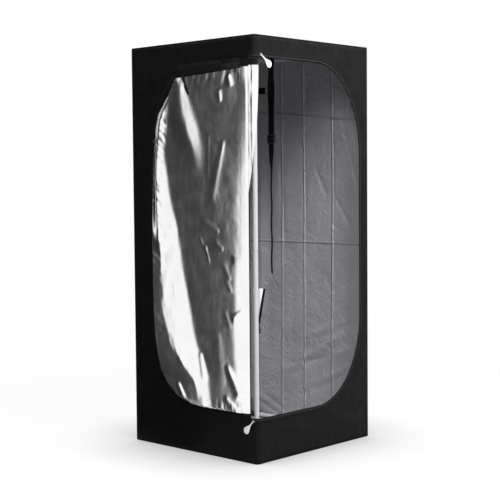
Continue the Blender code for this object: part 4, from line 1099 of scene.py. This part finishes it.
def tie():
    # a cone of cloth round the front pole, with a webbing along its front edge
    t = tieShape
    centre = Vector((-tent["poleAxis"], -tent["poleAxis"], t["low"]))

    def radiusAt(b):
        return t["lowR"] + t["grow"] * b

    def frontAt(b):
        return -math.asin(t["front"] / radiusAt(b))

    def onCone(radius, angle, b):
        return centre + Vector((radius * math.cos(angle), radius * math.sin(angle), t["high"] * b))

    def gusset(a, b):
        end = frontAt(b) + t["past"] / radiusAt(b)
        return onCone(radiusAt(b) + 0.0016 * math.sin(a * 9 + b * 5) * b, t["start"] + (end - t["start"]) * a, b)

    def band(a, b):
        radius = radiusAt(b) + 0.0020
        return onCone(radius, frontAt(b) + t["wide"][1] * a / radius, b)

    def outward(point):
        return Vector((point.x - centre.x, point.y - centre.y, 0))

    sheetPiece("tieGusset", 20, 24, gusset, outward, (t["wide"][0], t["long"]), t["thick"][0],
               (canvasMat, gussetMat), "tent", "gathered", ["tie_gusset"])
    sheetPiece("tieStrap", 6, 24, band, outward, (t["wide"][1], t["long"]), t["thick"][1], (webMat,), "tent",
               "stretched", ["tie_strap"])


strap = {"x": 0.112, "width": 0.025, "thick": 0.0012, "ply": 0.0011, "meet": 1.33995, "sewn": 1.0695, "tail": 0.590,
         "bar": 1.38595, "loop": 0.0089, "upperTurn": math.radians(-92), "lowerTurn": math.radians(-34)}


def hangingStrap():
    # up from the seam, over the bar, down through the buckle and on to the tail
    ply = strap["ply"]
    down = [strap["meet"] - (strap["meet"] - strap["sewn"]) * k / 60 for k in range(61)]
    path = [(ply, z) for z in reversed(down)]
    for angle in (math.pi * k / 12 for k in range(13)):
        path.append((strap["loop"] * math.cos(angle), strap["bar"] + strap["loop"] * math.sin(angle)))
    path += [(-ply, z) for z in down]
    path += [(-ply, strap["sewn"] - (strap["sewn"] - strap["tail"]) * k / 90) for k in range(1, 91)]
    runs = runsOf(map(math.dist, path, path[1:]))

    def shape(a, b):
        first, second, share = onLine(path, runs, b * runs[-1])
        y, z = Vector(first).lerp(second, share)
        upper = smoothStep((1.318 - z) / (1.318 - 1.190))
        lower = smoothStep((1.048 - z) / 0.090)
        turn = Matrix.Rotation(strap["upperTurn"] * upper + strap["lowerTurn"] * lower, 3, "Z")
        sway = 0.0016 * math.sin(z * 47) * lower
        return Vector((strap["x"] + sway, 0, z)) + turn @ Vector(((a - 0.5) * strap["width"], y, 0))

    item = sheetPiece("webStrap", 8, 420, shape, facing(0, -1, 0), (strap["width"], runs[-1]), strap["thick"],
                      (webMat,), "strap", "hung", ["hanging_strap"])
    item.modifiers["cloth"].offset = 0


def ductSleeve():
    # an elastic sleeve, turned from its profile of (radius, out) and pleated at its mouth
    root, mouth = duct["root"], duct["mouth"]
    profile = [(root + 0.018, 0.0003), (root + 0.018, 0.0015), (root + 0.001, 0.0016), (root, 0.004),
               (root + 0.0012, 0.016), (root + 0.0006, 0.030), (root - 0.0015, 0.044), (mouth + 0.003, 0.058),
               (mouth, 0.062), (mouth, 0.070), (mouth - 0.0012, 0.070), (mouth - 0.0012, 0.062),
               (root - 0.0030, 0.044), (root - 0.0012, 0.016), (root - 0.0014, -0.0018), (root - 0.0002, -0.0018),
               (root - 0.0002, 0.0003)]
    bm = bmesh.new()
    verts = [bm.verts.new((r, 0, h)) for r, h in profile]
    edges = [bm.edges.new(pair) for pair in zip(verts, verts[1:] + verts[:1])]
    bmesh.ops.spin(bm, geom=verts + edges, cent=(0, 0, 0), axis=(0, 0, 1), angle=2 * math.pi, steps=96, use_merge=True)
    for vert in bm.verts:
        angle = math.atan2(vert.co.y, vert.co.x)
        drawn = smoothStep((vert.co.z - 0.030) / 0.030)
        vert.co.xy *= 1 + 0.020 * drawn * math.sin(angle * 16 + math.sin(angle * 5))
    bmesh.ops.remove_doubles(bm, verts=bm.verts, dist=0.00001)
    bmesh.ops.recalc_face_normals(bm, faces=bm.faces)
    turn = Matrix.Translation((0, tent["half"], duct["z"])) @ Matrix.Rotation(-math.pi / 2, 4, "X")
    bmesh.ops.transform(bm, matrix=turn, verts=bm.verts)
    item = shaped("ductSleeve", bm, canvasMat)
    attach(item, "tent")
    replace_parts(item, "duct_sleeve")


def ventFlap():
    def shape(a, b):
        x, z = (a - 0.5) * vent["flap"][0], vent["low"] + vent["flap"][1] * b
        bow = 0.0012 * math.sin(math.pi * a) * (1 - b) + 0.0006 * noise.noise(Vector((x * 12, z * 12, 8)))
        return Vector((x, tent["half"] + vent["off"] + max(bow, 0), z))

    sheetPiece("ventFlap", 40, 24, shape, facing(0, 1, 0), vent["cut"], vent["thick"], (canvasMat,), "vent_cover",
               "hung", ["vent_flap"])


tab = {"reach": 0.0089, "thick": 0.0012, "low": 1.263, "wide": 0.024, "offWall": 0.0009,
       "runs": (0.008, 0.033, 0.080)}


def poleTab():
    # round the back right pole from inside, then along the side wall
    reach, axis = tab["reach"], tent["poleAxis"]
    line = []
    for turn in range(150, 271, 20):
        angle = math.radians(turn)
        line.append((axis + reach * math.cos(angle), axis + reach * math.sin(angle)))
    wallX = tent["half"] - tent["canvas"] - tab["offWall"]
    line += [(wallX, axis - reach - run) for run in tab["runs"]]
    runs = runsOf(map(math.dist, line, line[1:]))

    def shape(a, b):
        first, second, share = onLine(line, runs, a * runs[-1])
        return Vector((*Vector(first).lerp(second, share), tab["low"] + tab["wide"] * b))

    item = sheetPiece("poleTab", 40, 4, shape, leftward, (runs[-1], tab["wide"]), tab["thick"], (webMat,), "tent",
                      "stretched", ["pole_tab"])
    item.modifiers["cloth"].offset = 0


def refined(name, node, body, bevel, *materials):
    # the CAD solid with its edges broken
    bm = bmesh.new()
    bm.from_mesh(cadNodes[node].data)
    bmesh.ops.remove_doubles(bm, verts=bm.verts, dist=0.00002)
    bmesh.ops.dissolve_limit(bm, angle_limit=math.radians(1.5), verts=bm.verts, edges=bm.edges)
    sharp = [e for e in bm.edges if len(e.link_faces) == 2 and e.calc_face_angle(0) > math.radians(40)]
    bmesh.ops.bevel(bm, geom=sharp, offset=bevel, offset_type="OFFSET", segments=2, profile=0.5, affect="EDGES",
                    material=-1, clamp_overlap=True)
    item = shaped(name, bm, *materials)
    item.data.set_sharp_from_angle(angle=math.radians(50))
    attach(item, body)
    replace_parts(item, node)
    return item


def hardParts():
    for side in ("top", "low"):
        refined(f"slider{side.title()}", f"zip_slider_{side}", f"slider_{side}", 0.0003, zincMat)
    for side, flat in (("top", Vector((0, 1, 0))), ("low", Vector((1, 0, 0)))):
        item = refined(f"pull{side.title()}", f"zip_pull_{side}", f"pull_{side}", 0.0004, pullMat, plasticMat)
        for face in item.data.polygons:
            if abs(face.normal.dot(flat)) < 0.5:
                face.material_index = 1
    for name, node, body, bevel in (
        ("strapBuckle", "strap_buckle", "strap_buckle", 0.0006),
        ("tieBuckle", "tie_buckle", "tent", 0.0006),
        ("staySnap", "stay_snap", "tent", 0.0003),
        ("barClipLeft", "bar_clip_left", "bar", 0.0005),
        ("barClipRight", "bar_clip_right", "bar", 0.0005),
    ):
        refined(name, node, body, bevel, plasticMat)
    for node, item in cadNodes.items():
        if node == "vent_net":
            item.material_slots[0].material = netMat
        elif "socket" in node or node == "door_tie_ring":
            item.material_slots[0].material = plasticMat
        elif "upright" in node or node.endswith("bar") or "_bar_" in node:
            item.material_slots[0].material = enamelMat


walls()
roofAndFloor()
pipings()
print("canvas box sewn")
silverPanel()
hingeStrip()
cornerTuck()
hemBand()
ringBand("doorZipTape", -0.0105, 0.0015, webMat, "door_zip_tape")
ringBand("doorZipFlap", -0.1480, -0.0108, canvasMat, "door_zip_flap")
seamBinding()
zipTapes()
stay()
edgeLoops()
print("door hung open")
tie()
hangingStrap()
ductSleeve()
ventFlap()
poleTab()
hardParts()
print("fittings on")


# the photo's camera, in degrees and millimetres
shot = {"yaw": 46.92, "pitch": 3.322, "roll": -0.474, "lens": 86.12, "sensor": 36}


def photoCamera():
    yaw, pitch, roll = (math.radians(shot[key]) for key in ("yaw", "pitch", "roll"))
    ahead = Vector((math.sin(yaw) * math.cos(pitch), math.cos(yaw) * math.cos(pitch), -math.sin(pitch)))
    right = Vector((math.cos(yaw), -math.sin(yaw), 0))
    up = right.cross(ahead)
    across = right * math.cos(roll) + up * math.sin(roll)
    upright = up * math.cos(roll) - right * math.sin(roll)
    data = bpy.data.cameras.new("photoCamera")
    data.sensor_width = shot["sensor"]
    data.lens = shot["lens"]
    item = linked("photoCamera", data)
    turn = Matrix((across, upright, -ahead)).transposed().to_4x4()
    turn.translation = seenFrom
    item.matrix_world = turn
    scene.camera = item


def softLight(name, place, aim, size, watts):
    data = bpy.data.lights.new(name, "AREA")
    data.shape = "RECTANGLE"
    data.size, data.size_y = size
    data.energy = watts
    item = linked(name, data)
    item.location = place
    item.rotation_euler = (Vector(aim) - Vector(place)).to_track_quat("-Z", "Y").to_euler()


# contact and contactReach set the painted contact shadow on the floor
studio = {"floorTone": 0.08, "floorGlow": 0.12, "contact": 0.80, "contactReach": 0.36, "fadeFrom": 1.1, "fadeTo": 2.2,
          "dim": 0.07, "flagTone": 0.032}


def stageFloor():
    bm = bmesh.new()
    bmesh.ops.create_grid(bm, x_segments=1, y_segments=1, size=14)
    bmesh.ops.translate(bm, vec=(0, 0, -0.0004), verts=bm.verts)
    paint = Paint("studioFloor", (0.24, 0.24, 0.24), 0.9, specular=0.0)
    matt = paint.wire("ShaderNodeBsdfDiffuse", {"Color": (*(studio["floorTone"],) * 3, 1)})
    # painted shadow: ambient occlusion dims the floor's glow near the tent, a contact shadow painted into the floor as
    # the camera and reflections see it
    clear = paint.wire("ShaderNodeAmbientOcclusion", {"Distance": studio["contactReach"]}, "AO", samples=16)
    strength = clear * studio["contact"] + studio["floorGlow"]
    glow = paint.wire("ShaderNodeEmission", {"Color": (1, 1, 1, 1), "Strength": strength})
    white = paint.wire("ShaderNodeEmission", {"Color": (1, 1, 1, 1), "Strength": 1.0})
    away = paint.wire("ShaderNodeVectorMath", [paint.place()], "Value", operation="LENGTH")
    fade = away.spread(studio["fadeFrom"], studio["fadeTo"], 0, 1)
    seen = paint.wire("ShaderNodeMixShader", [fade, paint.wire("ShaderNodeAddShader", [matt, glow]), white])
    plain = Wire(paint, paint.shader.outputs[0])
    pick = paint.wire("ShaderNodeMixShader", [paint.rays("Camera", "Glossy"), plain, seen])
    paint.tree.links.new(pick.socket, paint.tree.nodes["Material Output"].inputs["Surface"])
    shaped("studioFloor", bm, paint.material)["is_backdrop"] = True


# a sweep from and to an angle about a spot of the left wall, its near and far ends and its height
flag = {"wallX": -0.31, "middle": -0.03, "from": 92, "dark": 141, "to": 156, "near": 0.06, "far": 5.0, "high": 6.0,
        "spokes": 24, "floorZ": 0.001}


def grayFlag():
    # a dark sweep behind the left wall, for the film's flats to mirror: along the floor, then up, fading to white
    bm = bmesh.new()
    angles = [flag["from"] + (flag["to"] - flag["from"]) * k / flag["spokes"] for k in range(flag["spokes"] + 1)]
    rows = []
    for reach, z in ((flag["near"], flag["floorZ"]), (flag["far"], flag["floorZ"]), (flag["far"], flag["high"])):
        rows.append([])
        for turn in map(math.radians, angles):
            spot = (flag["wallX"] + reach * math.cos(turn), flag["middle"] + reach * math.sin(turn), z)
            rows[-1].append(bm.verts.new(spot))
    layer = bm.loops.layers.uv.new("sweep")
    for low, high in zip(rows, rows[1:]):
        for k in range(flag["spokes"]):
            face = bm.faces.new((low[k], low[k + 1], high[k + 1], high[k]))
            for loop, spoke in zip(face.loops, (k, k + 1, k + 1, k)):
                loop[layer].uv = (angles[spoke], 0)
    paint = Paint("grayFlag", (0, 0, 0), 1.0, specular=0.0)
    sweep = paint.wire("ShaderNodeSeparateXYZ", [paint.place(flat=True)], "X")
    tone = studio["flagTone"]
    light = sweep.spread(flag["dark"], flag["to"] - 1, 0, 1) ** 1.6
    level = light * (1 - tone) + sweep.spread(112, 146, 0.7, 1.7) * tone
    paint.set("Emission Color", paint.wire("ShaderNodeCombineColor", [level, level, level]))
    paint.set("Emission Strength", 1.0)
    card = shaped("grayFlag", bm, paint.material)
    card.visible_camera = card.visible_shadow = card.visible_diffuse = False
    card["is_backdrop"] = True


def backdrop():
    world = bpy.data.worlds.new("studio")
    scene.world = world
    world.use_nodes = True
    world.node_tree.nodes.clear()
    sky = Nodes(world.node_tree)
    seen = sky.rays("Camera", "Glossy", "Transmission")
    dim = sky.wire("ShaderNodeBackground", {"Color": (1, 1, 1, 1), "Strength": studio["dim"]})
    white = sky.wire("ShaderNodeBackground", {"Color": (1, 1, 1, 1), "Strength": 1.0})
    sky.node("ShaderNodeOutputWorld", {"Surface": sky.wire("ShaderNodeMixShader", [seen, dim, white])})


photoCamera()
stageFloor()
backdrop()
grayFlag()
softLight("keyRight", (1.9, -2.6, 3.0), (0, -0.1, 0.8), (2.4, 2.4), 76)
softLight("doorLight", (-0.9, -2.9, 3.7), (0.2, 0.0, 0.7), (1.2, 1.6), 150)
softLight("cameraFill", (-3.2, -2.6, 3.0), (-0.3, 0.0, 0.7), (1.5, 1.5), 75)
softLight("topFill", (0, 0, 3.4), (0, 0, 0.0), (3.0, 3.0), 40)
scene.view_settings.view_transform = "Standard"

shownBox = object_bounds()
for label, box in (("cad box", cadBox), ("scene box", shownBox)):
    print(label, [[round(float(x), 4) for x in v] for v in box])
